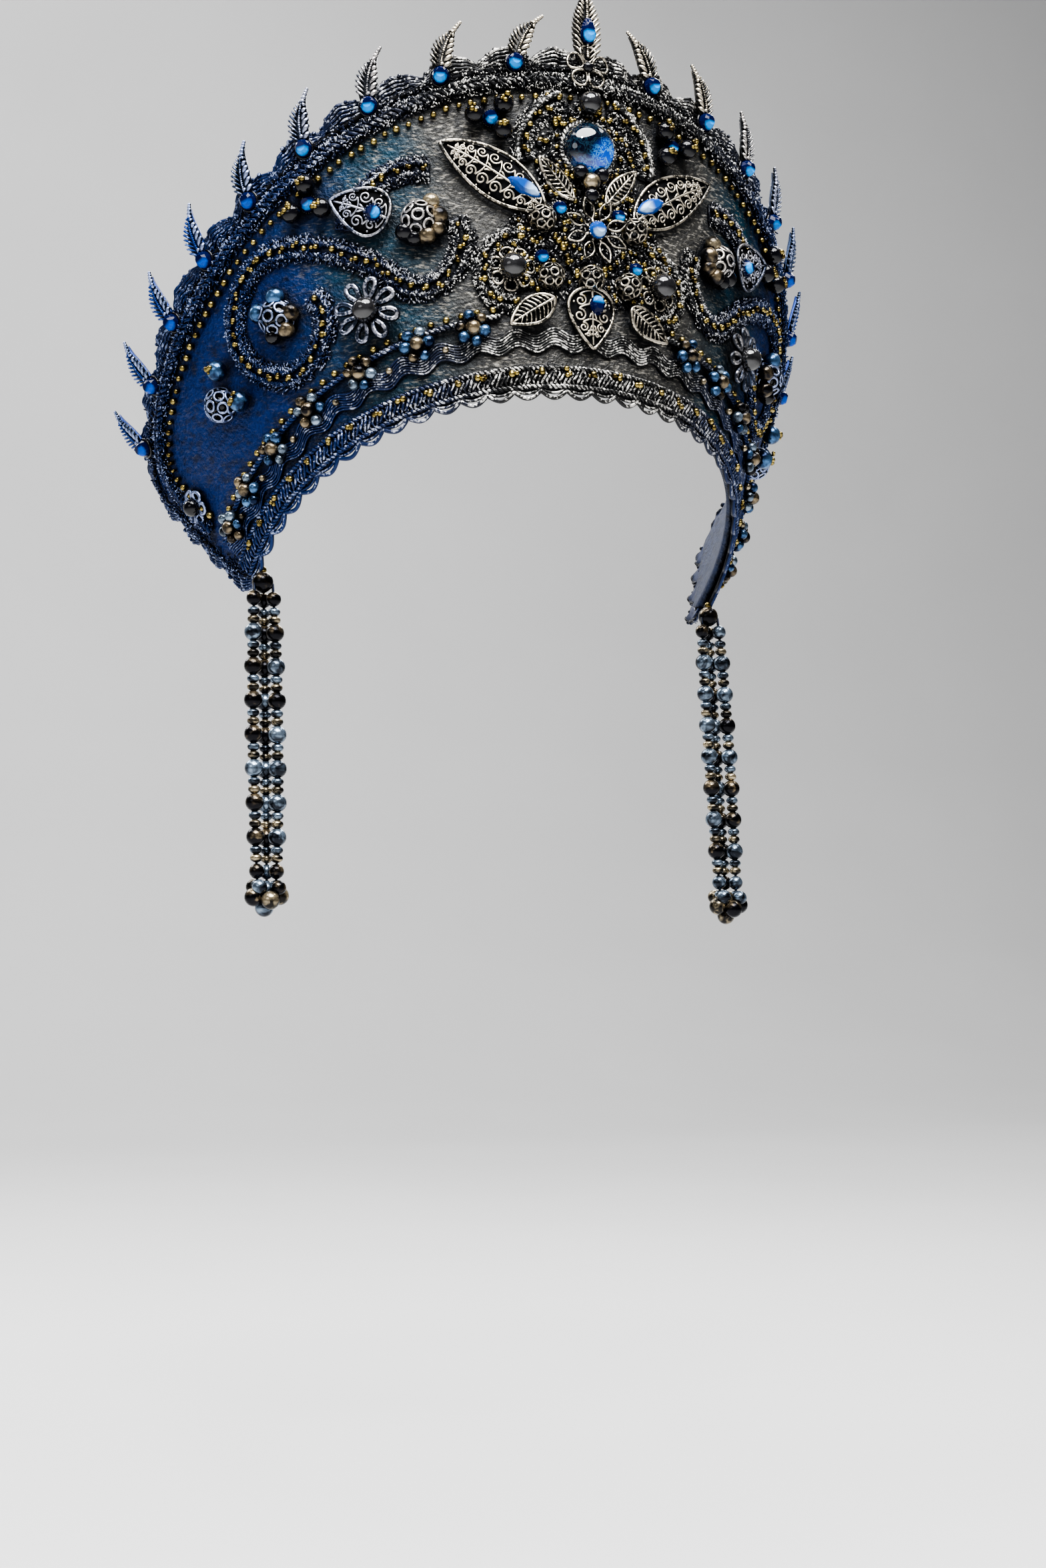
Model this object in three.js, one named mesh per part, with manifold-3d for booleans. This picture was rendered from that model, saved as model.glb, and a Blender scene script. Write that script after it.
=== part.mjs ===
// Kokoshnik headdress: a stiff cloth-covered crown wall, open at the back, edged with lace and braid
// and set with pierced leaves, glass stones, pearls and beads, with a bead drop at each temple.
// Millimetres, +Z up. The front looks along -Y, and the origin lies midway between the ears, level
// with the lower rim there.
import * as THREE from 'three';
import { mergeVertices } from 'three/addons/utils/BufferGeometryUtils.js';
import Module from 'manifold-3d';

const wasm = await Module();
wasm.setup();

// Driving dimensions of the crown wall: two tilted oval edges with a straight wall between them
const RIM = { halfWidth: 87.7, depth: 85.6, rise: 52.3, fullness: 0.25 };
const TOP = { halfWidth: 117.9, depth: 95.5, setBack: 15.9, height: 63, rise: 97.4 };
const END = { rimAngle: 91, topAngle: 105, bow: 0.6, roundFrom: 0.93, roundDrop: 0.1 };
const WALL = 3;
const WALL_GRID = { columns: 40, rows: 4 };
const GAP = 0.3;

// Trim: braid thickness and the level on which ornaments lie over a braid
const BRAID = 1.8;
const OVER_BRAID = GAP + BRAID + GAP;
const LACE = { thickness: 1.6, plain: 3.2, scallop: 4.2, scallops: 32, stepsEach: 3, endShare: 1 / 8 };
const EDGE_CORD = { width: 4, thickness: 2.6, steps: 46 };
const RIM_BRAID = { height: 0.02, width: 8, scallop: 2.4, thickness: 2.2, pitch: 9.6 };
const WAVE_LACE = { height: 0.14, width: 5.5, wave: 2, thickness: 1.2, pitch: 13.5, endAngle: 92 };
const BEAD_BAND = { height: 0.222, startAngle: -18, endAngle: -93, width: 2.2 };
const CLUSTER = { reach: 5, below: 7.4, above: 1.8, height: 4.4, under: 0.6 };

// Upper edge leaves
const SPIKE = { spacing: 24.9, perSide: 9, length: 19, width: 7.6, thickness: 2.4, stone: 2.8 };
const CENTER_SPIKE = { length: 30, width: 10.5, thickness: 3, stone: 4.2 };

// Temple drops
const DROP = {
  length: 118, periods: 9, sides: 10, together: 0.75,
  head: 3.8, bead: 3.15, endBead: 2.2, waist: 1.5, clusterBead: 3.3,
};

const COLOUR = {
  cloth: { color: 0x2a3f9c, roughness: 0.75, metalness: 0.1 },
  lace: { color: 0x23263a, roughness: 0.8, metalness: 0.1 },
  braid: { color: 0x6b7486, roughness: 0.6, metalness: 0.4 },
  silver: { color: 0xa9abae, roughness: 0.35, metalness: 0.9 },
  blueLeaf: { color: 0x3c56a8, roughness: 0.45, metalness: 0.6 },
  glass: { color: 0x203a78, roughness: 0.1, metalness: 0 },
  pearl: { color: 0x6f7078, roughness: 0.2, metalness: 0.3 },
  bead: { color: 0x4a4752, roughness: 0.3, metalness: 0.5 },
};

const headdress = new THREE.Group();
headdress.name = 'kokoshnik';

// Closed bodies: merge shared corners, drop collapsed triangles and turn the faces outward
function tidy(geometry) {
  geometry.deleteAttribute('normal');
  geometry.deleteAttribute('uv');
  const merged = mergeVertices(geometry, 1e-4);
  const corners = merged.index.array;
  const points = merged.attributes.position;
  const a = new THREE.Vector3();
  const b = new THREE.Vector3();
  const c = new THREE.Vector3();
  const kept = [];
  let volume = 0;
  for (let i = 0; i < corners.length; i += 3) {
    const [p, q, r] = corners.slice(i, i + 3);
    if (p === q || q === r || r === p) continue;
    kept.push(p, q, r);
    a.fromBufferAttribute(points, p);
    b.fromBufferAttribute(points, q);
    c.fromBufferAttribute(points, r);
    volume += a.dot(b.cross(c));
  }
  if (volume < 0) kept.reverse();
  const result = new THREE.BufferGeometry();
  result.setAttribute('position', points);
  result.setIndex(kept);
  return result;
}

function fuse(geometries) {
  const solids = geometries.map((geometry) => {
    const { attributes, index } = tidy(geometry);
    const vertProperties = new Float32Array(attributes.position.array);
    const triVerts = new Uint32Array(index.array);
    return new wasm.Manifold(new wasm.Mesh({ numProp: 3, vertProperties, triVerts }));
  });
  const mesh = solids.reduce((whole, next) => whole.add(next)).getMesh();
  const result = new THREE.BufferGeometry();
  result.setAttribute('position', new THREE.BufferAttribute(mesh.vertProperties, 3));
  result.setIndex(new THREE.BufferAttribute(mesh.triVerts, 1));
  return result;
}

function bend(geometry, place) {
  const points = geometry.attributes.position;
  for (let i = 0; i < points.count; i++) {
    const moved = place(points.getX(i), points.getY(i), points.getZ(i));
    points.setXYZ(i, moved.x, moved.y, moved.z);
  }
  return geometry;
}

function add(name, geometry, finish) {
  const whole = tidy(geometry);
  whole.computeVertexNormals();
  const mesh = new THREE.Mesh(whole, new THREE.MeshStandardMaterial(finish));
  mesh.name = name;
  headdress.add(mesh);
}

// A left piece and its mirror image on the right
function addPair(name, geometry, finish, suffix = '') {
  const mirrored = geometry.clone();
  add(`${name}_left${suffix}`, geometry, finish);
  add(`${name}_right${suffix}`, bend(mirrored, (x, y, z) => new THREE.Vector3(-x, y, z)), finish);
}

// The wall's outer face: angle in degrees from the front, height as a share from rim to upper edge
function wallPoint(angle, height) {
  const turn = THREE.MathUtils.degToRad(angle);
  const forward = Math.cos(turn);
  const side = Math.sin(turn);
  const rimRise = RIM.rise * forward * (1 + RIM.fullness * (1 - Math.abs(forward)));
  const rim = new THREE.Vector3(RIM.halfWidth * side, -RIM.depth * forward, rimRise);
  const topBack = TOP.setBack - TOP.depth * forward;
  const top = new THREE.Vector3(TOP.halfWidth * side, topBack, TOP.height + TOP.rise * forward);
  return rim.lerp(top, height);
}

function wallFrame(angle, height) {
  const step = 0.01;
  const perDegree = wallPoint(angle + step, height).sub(wallPoint(angle - step, height));
  const perHeight = wallPoint(angle, height + step).sub(wallPoint(angle, height - step));
  perDegree.divideScalar(2 * step);
  perHeight.divideScalar(2 * step);
  const across = perDegree.clone().normalize();
  const out = perDegree.clone().cross(perHeight).normalize();
  const up = out.clone().cross(across);
  return { perDegree, perHeight, across, up, out };
}

function lifted(angle, height, lift) {
  return wallPoint(angle, height).addScaledVector(wallFrame(angle, height).out, lift);
}

// Lays flat work on the wall: x across, y up and z out from a place on it, in millimetres
function onWall({ angle, height, turn = 0, lift = GAP }) {
  const { perDegree, perHeight, across, up } = wallFrame(angle, height);
  const skew = perHeight.dot(across);
  const rise = perHeight.dot(up);
  const cosine = Math.cos(THREE.MathUtils.degToRad(turn));
  const sine = Math.sin(THREE.MathUtils.degToRad(turn));
  return (x, y, z) => {
    const stepHeight = (x * sine + y * cosine) / rise;
    const stepAngle = (x * cosine - y * sine - stepHeight * skew) / perDegree.length();
    return lifted(angle + stepAngle, height + stepHeight, lift + z);
  };
}

// A flat braid on the wall: its path gives angle and height, and edges(share) its two edge offsets
function braid(path, steps, edges, lift, thickness) {
  const place = (x, y, z) => {
    const share = x + 0.5;
    const { point, tangent, out } = path(share);
    const [low, high] = edges(share);
    const aside = out.clone().cross(tangent);
    const offset = y < 0 ? low : high;
    const level = lift + (z + 0.5) * thickness;
    return point.clone().addScaledVector(aside, offset).addScaledVector(out, level);
  };
  return bend(new THREE.BoxGeometry(1, 1, 1, steps, 1, 1), place);
}

// A path on the wall from a function of share to angle and height
function wallPath(at) {
  return (share) => {
    const reach = 0.002;
    const [angle, height] = at(share);
    const before = wallPoint(...at(share - reach));
    const after = wallPoint(...at(share + reach));
    const tangent = after.sub(before).normalize();
    return { point: wallPoint(angle, height), tangent, out: wallFrame(angle, height).out };
  };
}

// A smooth path through a short table of places, run on straight past its ends
function curvePath(rows) {
  const heightScale = 100;
  const knots = rows.map(({ angle, height }) => new THREE.Vector3(angle, height * heightScale, 0));
  const curve = new THREE.CatmullRomCurve3(knots, false, 'centripetal');
  return wallPath((share) => {
    const inside = THREE.MathUtils.clamp(share, 0, 1);
    const knot = curve.getPointAt(inside).addScaledVector(curve.getTangentAt(inside), share - inside);
    return [knot.x, knot.y / heightScale];
  });
}

function constantEdges(width) {
  return () => [-width / 2, width / 2];
}

function pathLength(path) {
  const samples = 200;
  let length = 0;
  for (let i = 0; i < samples; i++) {
    length += path(i / samples).point.distanceTo(path((i + 1) / samples).point);
  }
  return length;
}

// Crown wall with rounded ends
function endAngle(height) {
  const share = Math.max(height, 0) ** END.bow;
  return END.rimAngle + (END.topAngle - END.rimAngle) * share;
}

function wallPlace(side, height) {
  const past = Math.max(0, (Math.abs(side) - END.roundFrom) / (1 - END.roundFrom));
  const lowered = height * (1 - END.roundDrop * past ** 2);
  return [side * endAngle(height), lowered];
}

const wallSheet = new THREE.BoxGeometry(2, 1, 1, WALL_GRID.columns, WALL_GRID.rows, 1);
const crownWall = bend(wallSheet, (x, y, z) => lifted(...wallPlace(x, y + 0.5), (z - 0.5) * WALL));
add('crown_wall', crownWall, COLOUR.cloth);

// Lace round the free edge: up one end, along the upper edge and down the other end
const edgePath = wallPath((share) => {
  const { endShare } = LACE;
  if (share < endShare) return wallPlace(-1, share / endShare);
  if (share > 1 - endShare) return wallPlace(1, (1 - share) / endShare);
  return wallPlace((2 * share - 1) / (1 - 2 * endShare), 1);
});
const laceEdges = (share) => {
  const wave = Math.abs(Math.sin(Math.PI * LACE.scallops * share));
  return [GAP, LACE.plain + LACE.scallop * wave];
};
const laceLift = -(WALL + LACE.thickness) / 2;
const laceSteps = LACE.scallops * LACE.stepsEach;
add('edge_lace', braid(edgePath, laceSteps, laceEdges, laceLift, LACE.thickness), COLOUR.lace);

// Twisted cord inside the lace, turning down at both ends
const EDGE_CORD_HALF = [
  { angle: 0, height: 0.955 },
  { angle: 50, height: 0.95 },
  { angle: 85, height: 0.935 },
  { angle: 95, height: 0.9 },
  { angle: 99, height: 0.8 },
  { angle: 98, height: 0.55 },
  { angle: 95, height: 0.34 },
];
const mirroredRow = ({ angle, height }) => ({ angle: -angle, height });
const edgeCordRows = [...EDGE_CORD_HALF.slice(1).reverse().map(mirroredRow), ...EDGE_CORD_HALF];
const edgeCord = braid(
  curvePath(edgeCordRows),
  EDGE_CORD.steps,
  constantEdges(EDGE_CORD.width),
  GAP,
  EDGE_CORD.thickness,
);
add('edge_cord', edgeCord, COLOUR.lace);

// Looped braid on the lower rim and zigzag lace above it
const rimPath = wallPath((share) => [(2 * share - 1) * END.rimAngle, RIM_BRAID.height]);
const rimScallops = Math.round(pathLength(rimPath) / RIM_BRAID.pitch);
const rimEdges = (share) => {
  const wave = Math.abs(Math.sin(Math.PI * rimScallops * share));
  return [-RIM_BRAID.width / 2 - RIM_BRAID.scallop * wave, RIM_BRAID.width / 2];
};
const rimBraid = braid(rimPath, rimScallops * 2, rimEdges, GAP, RIM_BRAID.thickness);
add('rim_braid', rimBraid, COLOUR.braid);

const wavePath = wallPath((share) => [(2 * share - 1) * WAVE_LACE.endAngle, WAVE_LACE.height]);
const waves = Math.round(pathLength(wavePath) / WAVE_LACE.pitch);
const waveEdges = (share) => {
  const shift = WAVE_LACE.wave * Math.cos(2 * Math.PI * waves * share) / 2;
  return [shift - WAVE_LACE.width / 2, shift + WAVE_LACE.width / 2];
};
const waveLace = braid(wavePath, waves * 2, waveEdges, GAP, WAVE_LACE.thickness);
add('wave_lace', waveLace, COLOUR.lace);

// Thin cord that swells into a bead cluster at each angle of the list
const CLUSTER_ANGLES = [-24, -35, -47, -59, -69.5, -79.5, -88];
const CLUSTER_SECTIONS = [
  { share: 1.3, swell: 0, raise: 0 },
  { share: 1, swell: 0, raise: 1 },
  { share: 0.6, swell: 1, raise: 1 },
  { share: -0.6, swell: 1, raise: 1 },
  { share: -1, swell: 0, raise: 1 },
  { share: -1.3, swell: 0, raise: 0 },
];

function beadBand() {
  const { height, startAngle, endAngle: lastAngle, width } = BEAD_BAND;
  const stations = [{ angle: startAngle, swell: 0, raise: 0 }];
  for (const angle of CLUSTER_ANGLES) {
    const half = CLUSTER.reach / wallFrame(angle, height).perDegree.length();
    for (const { share, swell, raise } of CLUSTER_SECTIONS) {
      stations.push({ angle: angle + share * half, swell, raise });
    }
  }
  stations.push({ angle: lastAngle, swell: 0, raise: 0 });
  const steps = stations.length - 1;
  return bend(new THREE.BoxGeometry(1, 1, 1, steps, 1, 1), (x, y, z) => {
    const { angle, swell, raise } = stations[Math.round((x + 0.5) * steps)];
    const { up, out } = wallFrame(angle, height);
    const offset = y < 0 ? -width / 2 - CLUSTER.below * swell : width / 2 + CLUSTER.above * swell;
    const under = GAP + (WAVE_LACE.thickness + CLUSTER.under) * raise;
    const level = z < 0 ? under : under + BRAID + (CLUSTER.height - BRAID) * swell;
    return wallPoint(angle, height).addScaledVector(up, offset).addScaledVector(out, level);
  });
}
addPair('bead_band', beadBand(), COLOUR.bead);

// Braid scrolls of the left half
const SCROLL_S = [
  { angle: -52.5, height: 0.55 },
  { angle: -51, height: 0.48 },
  { angle: -52, height: 0.4 },
  { angle: -56, height: 0.345 },
  { angle: -62, height: 0.37 },
  { angle: -67, height: 0.49 },
  { angle: -69, height: 0.64 },
  { angle: -66.5, height: 0.76 },
  { angle: -60, height: 0.805 },
  { angle: -52.5, height: 0.73 },
  { angle: -46, height: 0.625 },
  { angle: -39.5, height: 0.5 },
  { angle: -35, height: 0.4 },
  { angle: -30.5, height: 0.365 },
  { angle: -26, height: 0.4 },
  { angle: -23.5, height: 0.48 },
  { angle: -24.5, height: 0.56 },
];
const SCROLL_CAP = [
  { angle: -27.5, height: 0.735 },
  { angle: -32.5, height: 0.765 },
  { angle: -38, height: 0.755 },
  { angle: -42, height: 0.71 },
  { angle: -43, height: 0.665 },
];
const SCROLL_PEARL = [
  { angle: -12, height: 0.465 },
  { angle: -17, height: 0.455 },
  { angle: -20, height: 0.4 },
  { angle: -20.3, height: 0.34 },
  { angle: -18.5, height: 0.275 },
  { angle: -14.5, height: 0.255 },
];
const SCROLL_ARCH = [
  { angle: -4.4, height: 0.905 },
  { angle: -7.5, height: 0.87 },
  { angle: -10.6, height: 0.8 },
  { angle: -11.7, height: 0.745 },
  { angle: -11.5, height: 0.7 },
];
const SCROLLS = [
  { name: 'scroll_s', rows: SCROLL_S, steps: 42, width: 4.6 },
  { name: 'scroll_cap', rows: SCROLL_CAP, steps: 14, width: 4.6 },
  { name: 'scroll_pearl', rows: SCROLL_PEARL, steps: 14, width: 3.4 },
  { name: 'scroll_arch', rows: SCROLL_ARCH, steps: 12, width: 4 },
];
for (const { name, rows, steps, width } of SCROLLS) {
  addPair(name, braid(curvePath(rows), steps, constantEdges(width), GAP, BRAID), COLOUR.braid);
}

// Stones: a brilliant with a table and eight facets, its base on the plane z = 0
function cutStone({ x = 0, y = 0, z = 0, width, length = width, height }) {
  const TABLE = 0.55;
  const stone = new THREE.CylinderGeometry(TABLE / 2, 0.5, 1, 8);
  stone.rotateX(Math.PI / 2);
  stone.translate(0, 0, 0.5);
  stone.scale(width, length, height);
  stone.translate(x, y, z);
  return stone;
}

function bead(radius, x, y, z) {
  const ball = new THREE.SphereGeometry(radius, 10, 3);
  ball.rotateX(Math.PI / 2);
  ball.translate(x, y, z);
  return ball;
}

// Cast leaves on the upper edge: a ridged blade that curls towards the centre, a stone at its foot
function spike({ length, width, thickness, stone, curl }) {
  const FOOT = 2;
  const blade = new THREE.CylinderGeometry(1, 1, 1, 4, 4);
  bend(blade, (x, y, z) => {
    const share = y + 0.5;
    const half = width / 2 * (0.2 + 0.8 * Math.sin(Math.PI * share ** 0.8));
    const swing = curl * share ** 2;
    return new THREE.Vector3(x * half + swing, FOOT + length * share, 0.4 + (1 - z) * thickness / 2);
  });
  const setting = cutStone({ width: stone * 2, height: stone * 1.5, y: 1, z: 0 });
  return fuse([blade, setting]);
}

function angleAlongTop(distance) {
  const step = 0.05;
  let angle = 0;
  let run = 0;
  while (run < distance) {
    run += wallPoint(angle + step, 1).distanceTo(wallPoint(angle, 1));
    angle += step;
  }
  return angle;
}

const centerSpike = spike({ ...CENTER_SPIKE, curl: 0 });
add('leaf_spike_center', bend(centerSpike, onWall({ angle: 0, height: 1.005 })), COLOUR.silver);
const LEAN = { inner: 26, fadeFrom: 5, perSpike: 5 };
for (let k = 1; k <= SPIKE.perSide; k++) {
  const lean = LEAN.inner - LEAN.perSpike * Math.max(0, k - LEAN.fadeFrom);
  const foot = { angle: -angleAlongTop(k * SPIKE.spacing), height: 1.005, turn: -lean };
  const finish = k > 6 ? COLOUR.blueLeaf : COLOUR.silver;
  addPair('leaf_spike', bend(spike({ ...SPIKE, curl: 1.5 }), onWall(foot)), finish, `_${k}`);
}

// Pierced leaves: a rim, a midrib and slanting veins, slightly domed, with a stone near the base
function leafHalfWidth(width, share, fullness) {
  return width / 2 * Math.sin(Math.PI * share ** fullness) ** 0.8;
}

function piercedLeaf({ length, width, gaps, fullness, stone, crown = 1.2, thickness = 1.5 }) {
  const RIM_WIDTH = 1.1;
  const RIB = 0.7;
  const VEIN = 0.35;
  const sections = 7;
  const outline = new THREE.Shape();
  const at = (share) => length * (share - 0.5);
  outline.moveTo(0, at(0));
  for (let i = 1; i < sections; i++) {
    outline.lineTo(leafHalfWidth(width, i / sections, fullness), at(i / sections));
  }
  outline.lineTo(0, at(1));
  for (let i = sections - 1; i > 0; i--) {
    outline.lineTo(-leafHalfWidth(width, i / sections, fullness), at(i / sections));
  }
  const first = 0.12;
  const span = 0.68 / gaps;
  for (const side of [-1, 1]) {
    for (let i = 0; i < gaps; i++) {
      const low = first + i * span + VEIN / length;
      const high = first + (i + 1) * span - VEIN / length;
      const slant = 0.08;
      const lowWide = leafHalfWidth(width, low + slant, fullness) - RIM_WIDTH;
      const highWide = leafHalfWidth(width, high + slant, fullness) - RIM_WIDTH;
      const gap = new THREE.Path();
      gap.moveTo(side * RIB, at(low));
      gap.lineTo(side * Math.max(lowWide, 2 * RIB), at(low + slant));
      gap.lineTo(side * Math.max(highWide, 2 * RIB), at(high + slant));
      gap.lineTo(side * RIB, at(high));
      outline.holes.push(gap);
    }
  }
  const plate = new THREE.ExtrudeGeometry(outline, { depth: thickness, bevelEnabled: false });
  const domed = bend(plate, (x, y, z) => {
    const rise = crown * Math.cos(Math.PI * x / (width * 1.05));
    return new THREE.Vector3(x, y, z + rise);
  });
  const pieces = [domed];
  if (stone) pieces.push(cutStone({ ...stone, z: crown * 0.5 }));
  return fuse(pieces);
}

const BIG_LEAF = {
  length: 41, width: 17, gaps: 5, fullness: 0.85, crown: 2,
  stone: { width: 5, length: 11, height: 5, y: -8 },
};
const HEART_LEAF = {
  length: 21, width: 17, gaps: 3, fullness: 0.62,
  stone: { width: 5.4, height: 4.2, y: -5 },
};
const SMALL_LEAF = { length: 18, width: 7.2, gaps: 2, fullness: 0.85 };
const LOW_LEAF = { length: 17, width: 9.5, gaps: 3, fullness: 0.8 };
const DROP_LEAF = {
  length: 21.5, width: 17, gaps: 3, fullness: 0.62,
  stone: { width: 6, length: 8, height: 4.4, y: -4.5 },
};

function addLeafPair(name, leaf, place) {
  addPair(name, bend(piercedLeaf(leaf), onWall(place)), COLOUR.silver);
}

addLeafPair('big_leaf', BIG_LEAF, { angle: -17, height: 0.67, turn: 46 });
addLeafPair('heart_leaf', HEART_LEAF, { angle: -40, height: 0.7, turn: 42, lift: OVER_BRAID });
addLeafPair('cabochon_leaf', SMALL_LEAF, { angle: -6.1, height: 0.642, turn: 36 });
addLeafPair('low_leaf', LOW_LEAF, { angle: -12.3, height: 0.222, turn: 118, lift: OVER_BRAID });
const DROP_LEAF_LIFT = 0.8; // its domed tip clears the zigzag lace
const dropLeafPlace = { angle: 0, height: 0.21, turn: 180, lift: DROP_LEAF_LIFT };
add('drop_leaf', bend(piercedLeaf(DROP_LEAF), onWall(dropLeafPlace)), COLOUR.silver);

// Cabochon in a stepped ring, the pearl above it, and the flowers
const CABOCHON_PROFILE = [
  { radius: 0, level: 0 },
  { radius: 10.2, level: 0 },
  { radius: 10.2, level: 1.8 },
  { radius: 8.8, level: 2.6 },
  { radius: 7.9, level: 5 },
  { radius: 5, level: 7 },
  { radius: 0, level: 8 },
];
const cabochonPoints = CABOCHON_PROFILE.map(({ radius, level }) => new THREE.Vector2(radius, level));
const cabochon = new THREE.LatheGeometry(cabochonPoints, 14);
cabochon.rotateX(Math.PI / 2);
add('cabochon', bend(cabochon, onWall({ angle: 0, height: 0.745 })), COLOUR.glass);

const CROWN_PEARL = 3.75;
const crownPearl = new THREE.SphereGeometry(CROWN_PEARL, 12, 6);
crownPearl.translate(0, 0, CROWN_PEARL);
add('crown_pearl', bend(crownPearl, onWall({ angle: 0, height: 0.885 })), COLOUR.pearl);

function flower({ radius, petals, heart }) {
  const THICKNESS = 1.2;
  const outline = new THREE.Shape();
  const polar = (share, angle) => [share * radius * Math.cos(angle), share * radius * Math.sin(angle)];
  const pitch = 2 * Math.PI / petals;
  for (let i = 0; i < petals; i++) {
    const middle = i * pitch;
    const corners = [[0.55, -0.5], [0.95, -0.28], [0.95, 0.28]];
    corners.forEach(([share, turn], corner) => {
      const [x, y] = polar(share, middle + turn * pitch);
      if (i === 0 && corner === 0) outline.moveTo(x, y);
      else outline.lineTo(x, y);
    });
    const hole = new THREE.Path();
    hole.moveTo(...polar(0.52, middle));
    hole.lineTo(...polar(0.8, middle - 0.17 * pitch));
    hole.lineTo(...polar(0.8, middle + 0.17 * pitch));
    outline.holes.push(hole);
  }
  const plate = new THREE.ExtrudeGeometry(outline, { depth: THICKNESS, bevelEnabled: false });
  return fuse([plate, heart]);
}

const pearlFlower = flower({ radius: 7.2, petals: 6, heart: bead(4.4, 0, 0, 4.4) });
addPair('pearl_flower', bend(pearlFlower, onWall({ angle: -15.2, height: 0.365 })), COLOUR.pearl);
const sideFlower = flower({ radius: 10.5, petals: 8, heart: bead(4, 0, 0, 4) });
const sidePlace = { angle: -43, height: 0.385, lift: OVER_BRAID };
addPair('side_flower', bend(sideFlower, onWall(sidePlace)), COLOUR.silver);
const starHeart = cutStone({ width: 6.4, height: 4.2 });
const starFlower = flower({ radius: 10, petals: 8, heart: starHeart });
add('star_flower', bend(starFlower, onWall({ angle: 0, height: 0.49 })), COLOUR.silver);

// Bead nests: a filigree cap with beads round it
const CAP_PROFILE = [
  { radius: 0, level: 0 },
  { radius: 5.6, level: 0 },
  { radius: 5.2, level: 2.4 },
  { radius: 3, level: 4.6 },
  { radius: 0, level: 5.4 },
];
function beadNest(beads) {
  const points = CAP_PROFILE.map(({ radius, level }) => new THREE.Vector2(radius, level));
  const cap = new THREE.LatheGeometry(points, 10);
  cap.rotateX(Math.PI / 2);
  const balls = beads.map(({ x, y, radius }) => bead(radius, x, y, radius));
  return fuse([cap, ...balls]);
}
const INNER_NEST = [
  { x: -5.4, y: -2.2, radius: 3 },
  { x: 5.4, y: -1.4, radius: 3 },
  { x: 0.5, y: -5.8, radius: 3 },
];
const OUTER_NEST = [
  { x: -3.6, y: 5, radius: 3.3 },
  { x: 4, y: 4.6, radius: 3.3 },
  { x: 0.6, y: -5.8, radius: 3 },
];
const innerNest = bend(beadNest(INNER_NEST), onWall({ angle: -30.5, height: 0.585 }));
addPair('bead_nest_inner', innerNest, COLOUR.bead);
const outerNest = bend(beadNest(OUTER_NEST), onWall({ angle: -59.5, height: 0.575 }));
addPair('bead_nest_outer', outerNest, COLOUR.bead);

// Three beads round a cut stone, all on one small backing plate
function beadTrio(beads) {
  const BEAD = 3.2;
  const PLATE = { radius: 5, thickness: 0.9 };
  const plate = new THREE.CylinderGeometry(PLATE.radius, PLATE.radius, PLATE.thickness, 10);
  plate.rotateX(Math.PI / 2);
  plate.translate(0, 0, PLATE.thickness / 2);
  const balls = beads.map(({ x, y }) => bead(BEAD, x, y, BEAD));
  return fuse([plate, cutStone({ width: 5.4, height: 3.8 }), ...balls]);
}
const UPPER_TRIO = [{ x: -5.2, y: 1.6 }, { x: 4.6, y: 3.4 }, { x: 2.6, y: -5 }];
const SIDE_TRIO = [{ x: 3, y: 5 }, { x: -5.8, y: 0.2 }, { x: 3.4, y: -4.8 }];
const upperTrio = bend(beadTrio(UPPER_TRIO), onWall({ angle: -16.6, height: 0.845 }));
addPair('bead_trio_upper', upperTrio, COLOUR.bead);
const sideTrio = bend(beadTrio(SIDE_TRIO), onWall({ angle: -48.5, height: 0.835 }));
addPair('bead_trio_side', sideTrio, COLOUR.bead);

// Temple drops: three bead strings that part below a hanging bead and meet again in a cluster
const STRANDS = [
  { aside: -4.2, back: -1.4 },
  { aside: 0.2, back: 4.3 },
  { aside: 4.2, back: -1.4 },
];
const DROP_CLUSTER = [
  { aside: 0, back: 0, down: -0.5 },
  { aside: -4.6, back: -1.5, down: -3 },
  { aside: 4.6, back: -1, down: -2.4 },
  { aside: 0.4, back: -4.4, down: -4 },
  { aside: 0, back: 4.4, down: -3.4 },
  { aside: -0.4, back: 0, down: -6.4 },
];
function templeDrop({ angle, lean }) {
  const loop = Math.floor((angle / END.rimAngle + 1) / 2 * rimScallops) + 0.5;
  const { point, tangent, out } = rimPath(loop / rimScallops);
  const loopEnd = point.addScaledVector(out.clone().cross(tangent), rimEdges(loop / rimScallops)[0]);
  const head = loopEnd.addScaledVector(out, GAP).add(new THREE.Vector3(0, 0, -GAP - DROP.head));
  const run = DROP.length - DROP.head - 3 * DROP.clusterBead;
  const axis = (share) => head.clone().add(new THREE.Vector3(lean * share, 0, -run * share));
  const period = run / DROP.periods;
  const profile = [new THREE.Vector2(0, 0)];
  for (let i = 0; i < DROP.periods; i++) {
    profile.push(new THREE.Vector2(DROP.waist, period * (i + 0.1)));
    const isEnd = i === 0 || i === DROP.periods - 1;
    profile.push(new THREE.Vector2(isEnd ? DROP.endBead : DROP.bead, period * (i + 0.5)));
  }
  profile.push(new THREE.Vector2(0, run));
  const strands = STRANDS.map(({ aside, back }) => {
    const string = new THREE.LatheGeometry(profile, DROP.sides);
    return bend(string, (x, y, z) => {
      const share = y / run;
      const arch = Math.max(0, Math.sin(Math.PI * share)) ** 0.7;
      const part = DROP.together + (1 - DROP.together) * arch;
      return axis(share).add(new THREE.Vector3(x + aside * part, back * part - z, 0));
    });
  });
  const foot = axis(1);
  const cluster = DROP_CLUSTER.map(({ aside, back, down }) => {
    return bead(DROP.clusterBead, foot.x + aside, foot.y + back, foot.z + down);
  });
  return fuse([bead(DROP.head, head.x, head.y, head.z), ...strands, ...cluster]);
}
const DROPS = [
  { name: 'temple_drop_left', angle: -87, lean: 3 },
  { name: 'temple_drop_right', angle: 87, lean: 8 },
];
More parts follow.
